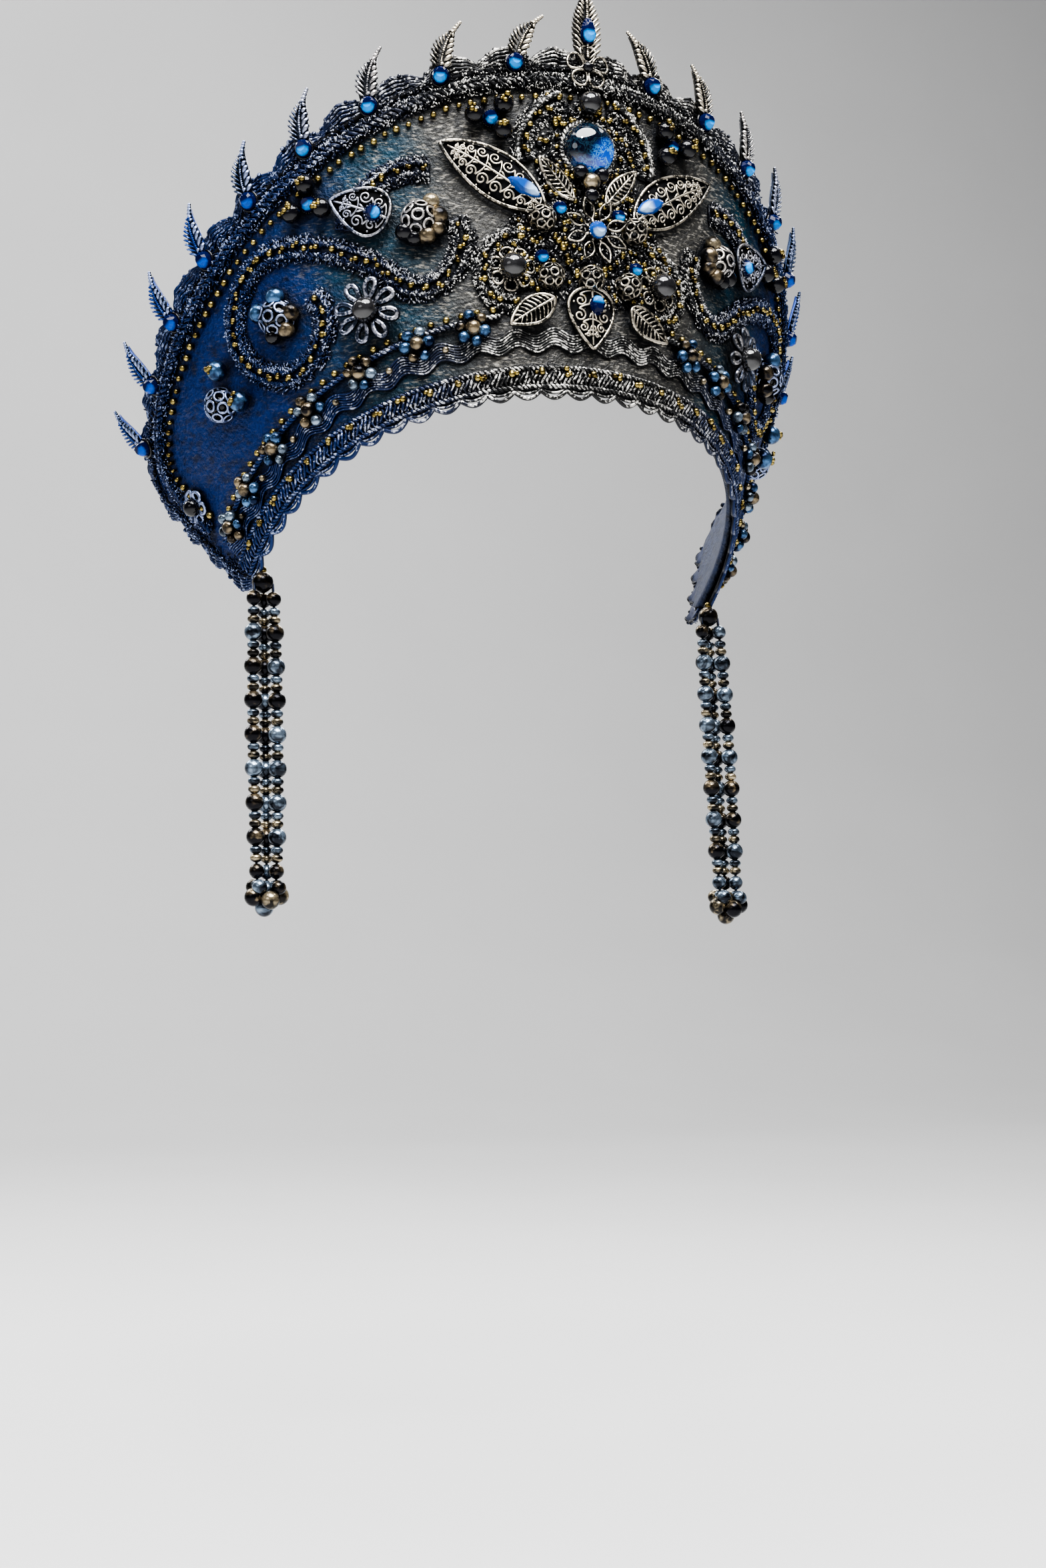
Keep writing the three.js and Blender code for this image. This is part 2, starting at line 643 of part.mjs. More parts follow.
for (const { name, ...row } of DROPS) add(name, templeDrop(row), COLOUR.bead);

export default headdress;
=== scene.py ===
import bpy
import numpy as np
from mathutils import Matrix


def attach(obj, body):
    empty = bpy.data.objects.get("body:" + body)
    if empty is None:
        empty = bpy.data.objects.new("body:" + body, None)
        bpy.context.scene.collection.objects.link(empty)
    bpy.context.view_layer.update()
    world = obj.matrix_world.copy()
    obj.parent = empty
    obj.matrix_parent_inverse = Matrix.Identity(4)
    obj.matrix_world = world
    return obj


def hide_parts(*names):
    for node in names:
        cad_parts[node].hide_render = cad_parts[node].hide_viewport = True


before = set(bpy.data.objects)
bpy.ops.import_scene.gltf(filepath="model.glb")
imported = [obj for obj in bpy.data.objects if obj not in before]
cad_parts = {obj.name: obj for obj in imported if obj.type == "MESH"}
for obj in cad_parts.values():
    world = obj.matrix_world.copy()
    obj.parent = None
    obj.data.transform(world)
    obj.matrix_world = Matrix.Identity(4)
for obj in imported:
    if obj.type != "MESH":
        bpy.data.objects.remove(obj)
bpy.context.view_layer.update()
rng = np.random.default_rng(7)

MM = 0.001
OUT = np.array([0.0, 0.0, 1.0])
# How far ornaments stand off the wall, or off a braid that they cross
GAP = 0.3
OVER_BRAID = 2.4
# The wall's lower rim: where it ends in degrees from the front, its half width, depth, rise and flatness
RIM_ANGLE = 91
RIM_HALF = 87.7
RIM_DEPTH = 85.6
RIM_RISE = 52.3
RIM_FLATNESS = 0.25
# Its upper edge, whose middle lies behind the rim's middle and above it
TOP_ANGLE = 105
TOP_HALF = 117.9
TOP_DEPTH = 95.5
TOP_RISE = 97.4
TOP_BACK = 15.9
TOP_LEVEL = 63
WALL_THICKNESS = 3.0
WALL_BEVEL = 0.6


def unit(vectors):
    return vectors / np.linalg.norm(vectors, axis=-1, keepdims=True)


def xyz(x, y, z):
    """Points from their coordinates; a single number stands for all of them."""
    return np.stack(np.broadcast_arrays(x, y, z), -1).astype(float)


# The wall: angle in degrees from the front, height as a share from the rim to the upper edge
def wall_point(angle, height):
    turn = np.radians(angle)
    forward = np.cos(turn)
    aside = np.sin(turn)
    rise = RIM_RISE * forward * (1 + RIM_FLATNESS - RIM_FLATNESS * np.abs(forward))
    rim = xyz(RIM_HALF * aside, -RIM_DEPTH * forward, rise)
    top = xyz(TOP_HALF * aside, TOP_BACK - TOP_DEPTH * forward, TOP_LEVEL + TOP_RISE * forward)
    return rim + (top - rim) * np.asarray(height)[..., None]


def wall_slopes(angle, height):
    per_degree = (wall_point(angle + 0.05, height) - wall_point(angle - 0.05, height)) * 10
    per_height = (wall_point(angle, height + 0.01) - wall_point(angle, height - 0.01)) * 50
    return per_degree, per_height


def wall_out(angle, height):
    return unit(np.cross(*wall_slopes(angle, height)))


def lifted(angle, height, lift):
    return wall_point(angle, height) + wall_out(angle, height) * np.asarray(lift)[..., None]


def on_wall(angle, height, turn=0.0, lift=GAP):
    """Lays flat work on the wall: x across, y up and z out from a place on it."""
    per_degree, per_height = wall_slopes(np.float64(angle), np.float64(height))
    across = unit(per_degree)
    out = unit(np.cross(per_degree, per_height))
    skew = per_height @ across
    rise = per_height @ np.cross(out, across)
    cosine = np.cos(np.radians(turn))
    sine = np.sin(np.radians(turn))

    def place(points):
        x, y, z = points.T
        step_height = (x * sine + y * cosine) / rise
        step_angle = (x * cosine - y * sine - step_height * skew) / np.linalg.norm(per_degree)
        return lifted(angle + step_angle, height + step_height, lift + z)

    return place


# Where ornaments sit: angle, height, turn and lift; those at angles below 0 have a mirror copy
PLACES = {
    "pearl_flower": (-15.2, 0.365),
    "side_flower": (-42.5, 0.37, 11, OVER_BRAID),
    "star_flower": (1.0, 0.485, 0, 1.6),
    "big_leaf": (-17, 0.67, 46),
    "big_leaf_foot": (-10.2, 0.53, 46),
    "heart_leaf": (-40, 0.70, 42, OVER_BRAID),
    "cabochon_leaf": (-6.1, 0.642, 36),
    "low_leaf": (-12.3, 0.222, 118, OVER_BRAID),
    "drop_leaf": (0, 0.21, 180, 0.8),
    "bead_nest_inner": (-30.5, 0.585),
    "bead_nest_outer": (-59.5, 0.575),
    "bead_trio_upper": (-16.6, 0.845),
    "bead_trio_side": (-48.5, 0.835),
    "cabochon": (0, 0.745),
    "crown_pearl": (0, 0.885),
    "centre_beads": (0, 0.635, 0, 1.0),
    "centre_ground": (0, 0.5, 0, 0.1),
    "side_tuft": (-77.5, 0.56),
    "ear_flower": (-95.5, 0.5),
}


def at(name):
    return on_wall(*PLACES[name])


# How fast the wall's ends reach back with height, and where and how far its upper corners dip
END_POWER = 0.6
DIP_FROM = 0.93
DIP_LENGTH = 0.07
DIP = 0.1


def end_angle(height):
    return RIM_ANGLE + (TOP_ANGLE - RIM_ANGLE) * np.maximum(height, 0) ** END_POWER


def wall_place(side, height):
    """A place by its share of the way round the wall, -1 to 1, and its height."""
    past = np.maximum(0, (np.abs(side) - DIP_FROM) / DIP_LENGTH)
    return side * end_angle(height), height * (1 - DIP * past**2)


def smooth_rows(rows, per_leg=24):
    """Points of a smooth curve through a short table of (angle, height) rows."""
    knots = np.array(rows, float)
    first = 2 * knots[0] - knots[1]
    last = 2 * knots[-1] - knots[-2]
    full = np.vstack([first, knots, last])
    t = np.linspace(0, 1, per_leg, endpoint=False)[:, None]
    legs = []
    for a, b, c, d in zip(full, full[1:], full[2:], full[3:]):
        legs.append(b + 0.5 * t * (c - a + t * (2 * a - 5 * b + 4 * c - d + t * (3 * (b - c) + d - a))))
    return np.vstack(legs + [knots[-1:]])


class Route:
    """A line on the wall: work is laid along it with x along, y aside and z out."""

    def __init__(self, rows):
        self.rows = np.asarray(rows, float)
        steps = np.linalg.norm(np.diff(wall_point(*self.rows.T), axis=0), axis=1)
        self.at = np.concatenate([[0], np.cumsum(steps)])
        self.length = self.at[-1]

    def run(self, share):
        return np.interp(share, np.linspace(0, 1, len(self.at)), self.at)

    def spot(self, run):
        return np.interp(run, self.at, self.rows[:, 0]), np.interp(run, self.at, self.rows[:, 1])

    def __call__(self, points):
        x, y, z = points.T
        inside = np.clip(x, 0.6, self.length - 0.6)
        behind = wall_point(*self.spot(inside - 0.5))
        ahead = wall_point(*self.spot(inside + 0.5))
        tangent = unit(ahead - behind)
        angle, height = self.spot(inside)
        out = wall_out(angle, height)
        aside = np.cross(out, tangent)
        base = wall_point(angle, height) + tangent * (x - inside)[:, None]
        return base + aside * y[:, None] + out * z[:, None]


# Solids: each is (points, quads, triangles, relief); relief runs from 0 in the hollows to 1 on top, and the
# finishes paint shade and highlights by it
NO_TRIS = np.zeros((0, 3), int)


def tube(path, radius, sides=6, closed=False, flat=1.0, out=OUT):
    path = np.asarray(path, float)
    count = len(path)
    if closed:
        tangent = np.roll(path, -1, 0) - np.roll(path, 1, 0)
    else:
        tangent = np.gradient(path, axis=0)
    tangent = unit(tangent)
    side = unit(np.cross(tangent, out))
    lift = np.cross(side, tangent)
    turn = np.arange(sides) * 2 * np.pi / sides
    ring = np.cos(turn)[:, None] * side[:, None] + flat * np.sin(turn)[:, None] * lift[:, None]
    radii = np.broadcast_to(radius, count)
    points = (path[:, None] + ring * radii[:, None, None]).reshape(-1, 3)
    relief = np.tile(0.5 + 0.5 * np.sin(turn), count)
    rows = np.arange(count if closed else count - 1)[:, None]
    column = np.arange(sides)[None]
    after = (rows + 1) % count
    beside = (column + 1) % sides
    corners = [rows * sides + column, after * sides + column, after * sides + beside, rows * sides + beside]
    quads = np.stack(corners, -1).reshape(-1, 4)
    if closed:
        return points, quads, NO_TRIS, relief
    points = np.vstack([points, path[:1], path[-1:]])
    relief = np.concatenate([relief, [0.5, 0.5]])
    base = (count - 1) * sides
    start = np.stack([np.full(sides, count * sides), column[0], beside[0]], -1)
    end = np.stack([np.full(sides, count * sides + 1), base + beside[0], base + column[0]], -1)
    return points, quads, np.vstack([start, end]), relief


def lathe(profile, sides):
    """A solid of revolution about z from (radius, level) rows, low to high, closed at both poles."""
    rows = np.array(profile, float)
    turn = np.arange(sides) * 2 * np.pi / sides
    ring = xyz(np.cos(turn), np.sin(turn), 0)
    middle = rows[1:-1]
    points = (ring[None] * middle[:, 0, None, None] + OUT * middle[:, 1, None, None]).reshape(-1, 3)
    points = np.vstack([points, [[0, 0, rows[0, 1]], [0, 0, rows[-1, 1]]]])
    span = rows[-1, 1] - rows[0, 1]
    relief = (points[:, 2] - rows[0, 1]) / span
    level = np.arange(len(middle) - 1)[:, None]
    column = np.arange(sides)[None]
    beside = (column + 1) % sides
    low = level * sides
    high = low + sides
    quads = np.stack([low + column, low + beside, high + beside, high + column], -1).reshape(-1, 4)
    foot = len(points) - 2
    last = (len(middle) - 1) * sides
    bottom = np.stack([np.full(sides, foot), beside[0], column[0]], -1)
    top = np.stack([np.full(sides, foot + 1), last + column[0], last + beside[0]], -1)
    return points, quads, np.vstack([bottom, top]), relief


def ball(sides, rings):
    turn = np.linspace(-np.pi / 2, np.pi / 2, rings + 1)
    return lathe(np.stack([np.cos(turn), np.sin(turn)], -1), sides)


def repeated(solid, centres, offset, relief):
    """One solid at each centre; offset holds its points about each of them."""
    points, quads, tris, _ = solid
    shift = np.arange(len(centres))[:, None, None] * len(points)
    every = (centres[:, None] + offset).reshape(-1, 3)
    return every, (quads + shift).reshape(-1, 4), (tris + shift).reshape(-1, 3), relief


def balls(centres, radii, sides, rings, squash=1.0):
    centres = np.asarray(centres, float)
    solid = ball(sides, rings)
    size = np.broadcast_to(radii, len(centres))[:, None, None] * [1, 1, squash]
    return repeated(solid, centres, solid[0] * size, np.tile(solid[3], len(centres)))


def grains(centres, directions, length, width):
    """Short thread ends: small spindles, each along its own direction."""
    solid = ball(4, 3)
    along = unit(directions)
    side = unit(np.cross(along, OUT + 0.01))
    lift = np.cross(side, along)
    length = np.broadcast_to(length, len(centres))[:, None, None]
    width = np.broadcast_to(width, len(centres))[:, None, None]
    across, over, axis = solid[0].T[:, None, :, None]
    offset = axis * along[:, None] * length + width * (across * side[:, None] + over * lift[:, None])
    relief = np.clip(0.5 + 0.5 * offset[..., 2] / (width[..., 0] + 0.4), 0, 1)
    return repeated(solid, centres, offset, relief.ravel())


def cut_stone(width, length=None, height=3.0, sides=10, outline=None):
    """A faceted stone on z = 0, its girdle shaped by outline(turn); relief rises inward and downward, where
    its finish paints the light gathered in the stone.
    """
    length = length or width
    levels = [(0.9, 0.0, 0, 0.2), (1.0, 0.32, 0, 0.3), (0.8, 0.74, 0.5, 0.9), (0.5, 1.0, 0, 1.0)]
    points = []
    light = []
    for scale, level, shift, share in levels:
        turn = (np.arange(sides) + shift) * 2 * np.pi / sides
        shape = outline(turn) if outline else np.stack([np.cos(turn), np.sin(turn)], -1)
        flat = shape * [width / 2, length / 2] * scale
        points.append(xyz(*flat.T, level * height))
        light.append(np.full(sides, share))
    points = np.vstack(points + [[[0, 0, height]]])
    column = np.arange(sides)
    beside = (column + 1) % sides
    low, high, crown, table = (column + sides * i for i in range(4))
    quads = np.stack([low, beside, beside + sides, high], -1)
    tris = [
        np.stack([high, beside + sides, crown], -1),
        np.stack([beside + sides, beside + 2 * sides, crown], -1),
        np.stack([crown, beside + 3 * sides, table], -1),
        np.stack([crown, beside + 2 * sides, beside + 3 * sides], -1),
        np.stack([table, beside + 3 * sides, np.full(sides, 4 * sides)], -1),
    ]
    relief = np.clip(0.5 - points[:, 1] / length, 0, 1) * np.append(np.concatenate(light), 1.0)
    return points, quads, np.vstack(tris), relief


def plate(grid, thickness, back=0.2):
    """A thin sheet through a grid of points, thickened along z; back is the relief of its rear face."""
    rows, columns, _ = grid.shape
    low = grid.reshape(-1, 3) - OUT * thickness / 2
    high = grid.reshape(-1, 3) + OUT * thickness / 2
    index = np.arange(rows * columns).reshape(rows, columns)
    face = np.stack([index[:-1, :-1], index[:-1, 1:], index[1:, 1:], index[1:, :-1]], -1).reshape(-1, 4)
    border = np.concatenate([index[0], index[1:, -1], index[-1, -2::-1], index[-2:0:-1, 0]])
    follow = np.roll(border, -1)
    count = rows * columns
    wall = np.stack([border, follow, follow + count, border + count], -1)
    quads = np.vstack([face[:, ::-1], face + count, wall])
    return np.vstack([low, high]), quads, NO_TRIS, np.repeat([back, 0.5], count)


def moved(solid, shift=(0, 0, 0), turn=0.0):
    points, quads, tris, relief = solid
    cosine = np.cos(np.radians(turn))
    sine = np.sin(np.radians(turn))
    spin = np.array([[cosine, -sine, 0], [sine, cosine, 0], [0, 0, 1]])
    return points @ spin.T + np.asarray(shift, float), quads, tris, relief


class Work:
    """Gathers the solids of one piece."""

    def __init__(self):
        self.points = []
        self.relief = []
        self.faces = []
        self.count = 0

    def add(self, solid, finish, place=None, smooth=True):
        points, quads, tris, relief = solid
        self.points.append(place(points) if place else points)
        self.relief.append(relief)
        self.faces.append((quads + self.count, tris + self.count, finish, smooth))
        self.count += len(points)

    def bead(self, spot, radius, finish, place=None, sides=18, squash=1.0):
        self.add(balls([spot], radius, sides, int(np.ceil(0.57 * sides)), squash), finish, place)

    def gem(self, stone, shift, place, turn=0.0, finish="stone"):
        self.add(moved(stone, shift, turn), finish, place, False)

    def mirrored(self):
        other = Work()
        other.points = [points * [-1, 1, 1] for points in self.points]
        other.relief = self.relief
        other.faces = [(quads[:, ::-1], tris[:, ::-1], *rest) for quads, tris, *rest in self.faces]
        other.count = self.count
        return other


def make(work, name, nodes=()):
    finishes = list(dict.fromkeys(face[2] for face in work.faces))
    loops = []
    sizes = []
    index = []
    smooth = []
    for quads, tris, finish, is_smooth in work.faces:
        loops += [quads.ravel(), tris.ravel()]
        sizes += [np.full(len(quads), 4), np.full(len(tris), 3)]
        faces = len(quads) + len(tris)
        index.append(np.full(faces, finishes.index(finish)))
        smooth.append(np.full(faces, is_smooth))
    loops = np.concatenate(loops).astype(np.int32)
    sizes = np.concatenate(sizes)
    mesh = bpy.data.meshes.new(name)
    points = np.vstack(work.points) * MM
    mesh.vertices.add(len(points))
    mesh.vertices.foreach_set("co", points.ravel())
    mesh.loops.add(len(loops))
    mesh.loops.foreach_set("vertex_index", loops)
    mesh.polygons.add(len(sizes))
    mesh.polygons.foreach_set("loop_start", (np.cumsum(sizes) - sizes).astype(np.int32))
    mesh.polygons.foreach_set("material_index", np.concatenate(index).astype(np.int32))
    mesh.polygons.foreach_set("use_smooth", np.concatenate(smooth))
    relief = mesh.attributes.new("relief", "FLOAT", "POINT")
    relief.data.foreach_set("value", np.concatenate(work.relief).astype(np.float32))
    for finish in finishes:
        mesh.materials.append(FINISH[finish])
    mesh.update(calc_edges=True)
    mesh.validate()
    piece = bpy.data.objects.new(name, mesh)
    bpy.context.scene.collection.objects.link(piece)
    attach(piece, "root")
    if nodes:
        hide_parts(*nodes)


def make_pair(work, name, replaced=True, suffix=""):
    for side, half in (("left", work), ("right", work.mirrored())):
        whole = f"{name}_{side}{suffix}"
        make(half, f"dressed_{whole}", [whole] if replaced else ())


# Finishes: painted cloth, thread, cast metal, beads and glass; paint turns blue towards the sides
class Paint:
    """A procedural material in the making; places and distances in it are in metres."""

    def __init__(self, name, **constants):
        self.material = bpy.data.materials.new(name)
        self.material.use_nodes = True
        self.tree = self.material.node_tree
        self.shader = self.tree.nodes["Principled BSDF"]
        for socket, value in constants.items():
            self.shader.inputs[socket.replace("_", " ")].default_value = value
        self.place = self.node("ShaderNodeTexCoord").outputs["Object"]

    def node(self, kind, inputs=None, **settings):
        made = self.tree.nodes.new(kind)
        for key, value in settings.items():
            setattr(made, key, value)
        for key, value in (inputs or {}).items():
            self.feed(made.inputs[key], value)
        return made

    def feed(self, socket, value):
        if isinstance(value, bpy.types.NodeSocket):
            self.tree.links.new(value, socket)
        else:
            socket.default_value = value

    def noise(self, scale, detail=4.0, distortion=0.0, stretch=None):
        place = self.place
        if stretch:
            place = self.node("ShaderNodeMapping", {"Vector": place, "Scale": stretch}).outputs[0]
        inputs = {"Vector": place, "Scale": scale, "Detail": detail, "Distortion": distortion}
        return self.node("ShaderNodeTexNoise", inputs).outputs[0]

    def math(self, operation, a, b=0.0):
        return self.node("ShaderNodeMath", {0: a, 1: b}, operation=operation).outputs[0]

    def spread(self, value, low, high):
        inputs = {"Value": value, "From Min": low, "From Max": high}
        return self.node("ShaderNodeMapRange", inputs, interpolation_type="SMOOTHSTEP").outputs[0]

    def mix(self, share, a, b):
        a, b = ((*colour, 1) if isinstance(colour, tuple) else colour for colour in (a, b))
        return self.node("ShaderNodeMix", {0: share, 6: a, 7: b}, data_type="RGBA").outputs[2]

    def relief(self):
        return self.node("ShaderNodeAttribute", attribute_name="relief").outputs["Fac"]

    def sides(self):
        x, _, z = self.node("ShaderNodeSeparateXYZ", {0: self.place}).outputs
        wide = self.math("ABSOLUTE", x)
        lower = self.math("MULTIPLY", z, -0.16)
        reach = self.math("ADD", wide, lower)
        blurred = self.math("MULTIPLY", self.noise(45.0), 0.03)
        return self.spread(self.math("ADD", reach, blurred), 0.032, 0.106)

    def open(self, distance, low, high):
        """Painted shade: 0 in narrow hollows, 1 on open surfaces."""
        shade = self.node("ShaderNodeAmbientOcclusion", {"Distance": distance}, samples=6)
        return self.spread(shade.outputs["AO"], low, high)

    def bump(self, height, strength, distance):
        inputs = {"Height": height, "Strength": strength, "Distance": distance}
        self.feed(self.shader.inputs["Normal"], self.node("ShaderNodeBump", inputs).outputs[0])

    def colour(self, value):
        self.feed(self.shader.inputs["Base Color"], value)

    def roughness(self, low, high, scale):
        inputs = {"Value": self.noise(scale), "To Min": low, "To Max": high}
        self.feed(self.shader.inputs["Roughness"], self.node("ShaderNodeMapRange", inputs).outputs[0])


def painted_cloth(name, front, middle, side, dust_and_sheen):
    paint = Paint(name, **CLOTH)
    sides = paint.sides()
    inner = paint.mix(paint.spread(sides, 0.0, 0.4), front, middle)
    ground = paint.mix(paint.spread(sides, 0.45, 1.0), inner, side)
    strokes = paint.spread(paint.noise(240.0, 9.0, stretch=(1, 1, 2)), 0.38, 0.78)
    clouded = paint.mix(paint.math("MULTIPLY", strokes, 0.8), ground, BLACK)
    patches = paint.math("MULTIPLY", paint.noise(55.0, 3.0), 0.25)
    grain = paint.math("ADD", paint.noise(1100.0, 5.0, stretch=(0.4, 0.4, 1.5)), patches)
    glints = paint.spread(grain, 0.65, 0.86)
    wear_and_highlight = paint.math("MULTIPLY", glints, paint.math("SUBTRACT", 0.9, paint.math("MULTIPLY", sides, 0.8)))
    # Painted shade and grime: black in hollows and round the ornaments that stand on the cloth
    paint.colour(paint.mix(paint.open(0.006, 0.35, 0.95), BLACK, paint.mix(wear_and_highlight, clouded, dust_and_sheen)))
    paint.roughness(0.3, 0.55, 300.0)
    paint.bump(paint.noise(900.0, 9.0), 0.8, 0.0009)
    return paint.material


def aged(name, front, side, shine, rub_and_highlight, **constants):
    """Paint or metal, with painted shade and grime in the hollows, and bright on top from wear and a painted
    highlight; the fifth argument sets how far that goes.
    """
    paint = Paint(name, **constants)
    relief = paint.relief()
    sides = paint.sides()
    # Painted shade and grime: the low side of each part goes to black by its relief
    body = paint.mix(paint.spread(relief, 0.15, 0.85), BLACK, paint.mix(sides, front, side))
    fine = paint.noise(1200.0, 3.0)
    broad = paint.math("MULTIPLY", paint.noise(280.0, 2.0), 0.8)
    grain = paint.math("SUBTRACT", paint.math("ADD", fine, broad), paint.math("MULTIPLY", sides, 0.05))
    bluish = paint.mix(paint.math("MULTIPLY", sides, 0.6), shine, COLD_SHINE)
    # Painted highlight and wear: the top of each part turns to the shine colour by its relief and noise
    wear_and_highlight = paint.spread(paint.math("ADD", grain, relief), 2.0 - rub_and_highlight, 2.2 - rub_and_highlight)
    # Painted shade and grime: black in narrow hollows between threads and wires
    paint.colour(paint.mix(paint.open(0.0013, 0.2, 0.75), BLACK, paint.mix(wear_and_highlight, body, bluish)))
    paint.roughness(0.2, 0.48, 500.0)
    paint.bump(paint.noise(1400.0, 4.0), 0.35, 0.0003)
    return paint.material


def dusted_and_lit(name, ground, dust_and_sheen, low, high, **constants):
    """Beads with a second colour in soft patches, mostly on top, where it is also a painted highlight."""
    paint = Paint(name, **constants)
    # Painted highlight: the relief lifts the second colour towards the top of each bead
    patches = paint.math("ADD", paint.noise(260.0, 5.0, 0.6), paint.math("MULTIPLY", paint.relief(), 0.25))
    paint.colour(paint.mix(paint.spread(patches, low, high), ground, dust_and_sheen))
    paint.bump(paint.noise(900.0, 3.0), 0.15, 0.0002)
    return paint.material


def foiled_stone(name, dark, bright, deep):
    """Glass over foil, with painted shade above and at the rim and painted light gathered below; deeper at
    the sides.
    """
    paint = Paint(name, Roughness=0.03, Specular_IOR_Level=0.16)
    light = paint.mix(paint.spread(paint.sides(), 0.7, 1.0), bright, deep)
    # Painted light gathered low in the stone, painted shade above it and at the rim
    paint.colour(paint.mix(paint.spread(paint.relief(), 0.46, 0.76), dark, light))
    return paint.material


def cabochon_glass(name):
    paint = Paint(name, Roughness=0.03, Specular_IOR_Level=0.9)
    x, _, z = paint.node("ShaderNodeSeparateXYZ", {0: paint.place}).outputs
    # Painted light: the lower right of the dome is bright blue as if lit inside, with pale streaks mostly
    # there; the rest is painted dark
    slant = paint.math("SUBTRACT", paint.math("MULTIPLY", x, 0.7), z)
    patchy = paint.math("ADD", slant, paint.math("MULTIPLY", paint.noise(170.0, 3.0), 0.008))
    lower = paint.spread(patchy, -0.1295, -0.1180)
    body = paint.mix(lower, (0.0003, 0.001, 0.006), (0.0, 0.11, 0.85))
    streaks = paint.math("ABSOLUTE", paint.math("SUBTRACT", paint.noise(380.0, 6.0, 1.8), 0.5))
    line = paint.math("MULTIPLY", paint.spread(streaks, 0.07, 0.0), paint.math("ADD", lower, 0.03))
    paint.colour(paint.mix(line, body, (0.20, 0.65, 1.0)))
    return paint.material


# Colours are red, green and blue
BLACK = (0.003, 0.004, 0.007)
# Colours of the painted highlights and wear on top of each part
SHINE = (0.58, 0.52, 0.42)
COLD_SHINE = (0.08, 0.22, 0.62)
PALE_BLUE = (0.34, 0.48, 0.76)
THREAD_FRONT = (0.012, 0.012, 0.012)
THREAD_SIDE = (0.002, 0.018, 0.09)
SHADE_FELT = {"Roughness": 0.95, "Specular_IOR_Level": 0.1}
CLOTH = {"Metallic": 0.3, "Specular_IOR_Level": 0.25}
THREAD = {"Metallic": 0.4, "Specular_IOR_Level": 0.3}
SILVER = {"Metallic": 0.9}
ENAMEL = {"Metallic": 0.7}
GOLD = {"Metallic": 0.95, "Roughness": 0.22}
BEAD = {"Metallic": 0.8, "Roughness": 0.22}
PEARL = {"Metallic": 0.1, "Roughness": 0.07, "Specular_IOR_Level": 0.9}
JET = {"Roughness": 0.05, "Specular_IOR_Level": 0.35}
FINISH = {
    "cloth": painted_cloth(
        "painted_cloth", (0.040, 0.039, 0.036), (0.004, 0.032, 0.056), (0.0, 0.018, 0.115), (0.34, 0.32, 0.28)
    ),
    "lining": painted_cloth(
        "lining", (0.030, 0.031, 0.038), (0.020, 0.026, 0.046), (0.010, 0.022, 0.066), (0.09, 0.09, 0.10)
    ),
    # Painted shade: plain black for plates and seams where shade falls
    "felt": dusted_and_lit("black_shade_felt", (0.0015, 0.0015, 0.002), (0.006, 0.006, 0.007), 0.4, 0.8, **SHADE_FELT),
    "lace": aged("dark_lace", (0.009, 0.009, 0.010), (0.001, 0.012, 0.06), (0.60, 0.58, 0.54), 0.19, **CLOTH),
    "braid": aged("silver_braid", THREAD_FRONT, THREAD_SIDE, (0.68, 0.66, 0.62), 0.20, **THREAD),
    "bristle": aged("thread_ends", THREAD_FRONT, THREAD_SIDE, (0.66, 0.64, 0.60), 0.45, **THREAD),
    "silver": aged("silver_filigree", (0.040, 0.037, 0.031), (0.018, 0.033, 0.072), SHINE, 0.30, **SILVER),
    # More painted highlight and wear on top than the plain silver
    "rubbed": aged("rubbed_and_lit_silver", (0.050, 0.046, 0.038), (0.020, 0.036, 0.076), SHINE, 0.54, **SILVER),
    "blue": aged("blue_filigree", (0.005, 0.034, 0.18), (0.003, 0.030, 0.18), PALE_BLUE, 0.20, **ENAMEL),
    "gold": dusted_and_lit("gold_seed", (0.028, 0.018, 0.006), (0.50, 0.38, 0.12), 0.55, 0.90, **GOLD),
    "bead": dusted_and_lit("bronze_bead", (0.004, 0.004, 0.006), (0.27, 0.21, 0.13), 0.62, 0.94, **BEAD),
    "steel": dusted_and_lit("blue_bead", (0.002, 0.008, 0.030), (0.10, 0.22, 0.42), 0.56, 0.90, **BEAD),
    "champagne": dusted_and_lit("champagne_bead", (0.010, 0.009, 0.008), (0.46, 0.38, 0.25), 0.54, 0.86, **BEAD),
    "pewter": dusted_and_lit("pewter_bead", (0.008, 0.010, 0.015), (0.26, 0.34, 0.44), 0.50, 0.86, **BEAD),
    "pearl": dusted_and_lit("dark_pearl", (0.006, 0.006, 0.007), (0.020, 0.0195, 0.021), 0.5, 0.9, **PEARL),
    "black": dusted_and_lit("black_bead", (0.001, 0.001, 0.002), (0.004, 0.004, 0.006), 0.5, 0.9, **JET),
    "stone": foiled_stone("blue_stone", (0.0, 0.003, 0.035), (0.0, 0.32, 0.90), (0.0, 0.07, 0.42)),
    "pale_stone": foiled_stone("pale_stone", (0.01, 0.06, 0.28), (0.42, 0.64, 0.95), (0.1, 0.25, 0.7)),
    "glass": cabochon_glass("blue_glass"),
}


# Thread work shared by the trims
def twist(work, route, finish, wind, wire, pitch, aside=0.0, level=1.3, flat=1.0):
    """Two strands wound round each other along a line."""
    count = max(8, int(route.length / pitch * 9))
    x = np.linspace(0.3, route.length - 0.3, count)
    for strand in range(2):
        turn = 2 * np.pi * (x / pitch + strand / 2)
        path = xyz(x, aside + wind * np.cos(turn), level + flat * wind * np.sin(turn))
        points, quads, tris, relief = tube(path, wire, 6)
        relief = relief * 0.6 + 0.4 * np.clip((points[:, 2] - level) / (wind + wire) * 0.5 + 0.5, 0, 1)
        work.add((points, quads, tris, relief), finish, route)


def even_spots(length, pitch):
    """Runs along a line, half a pitch from its start."""
    return np.arange(pitch / 2, length - 0.3, pitch)


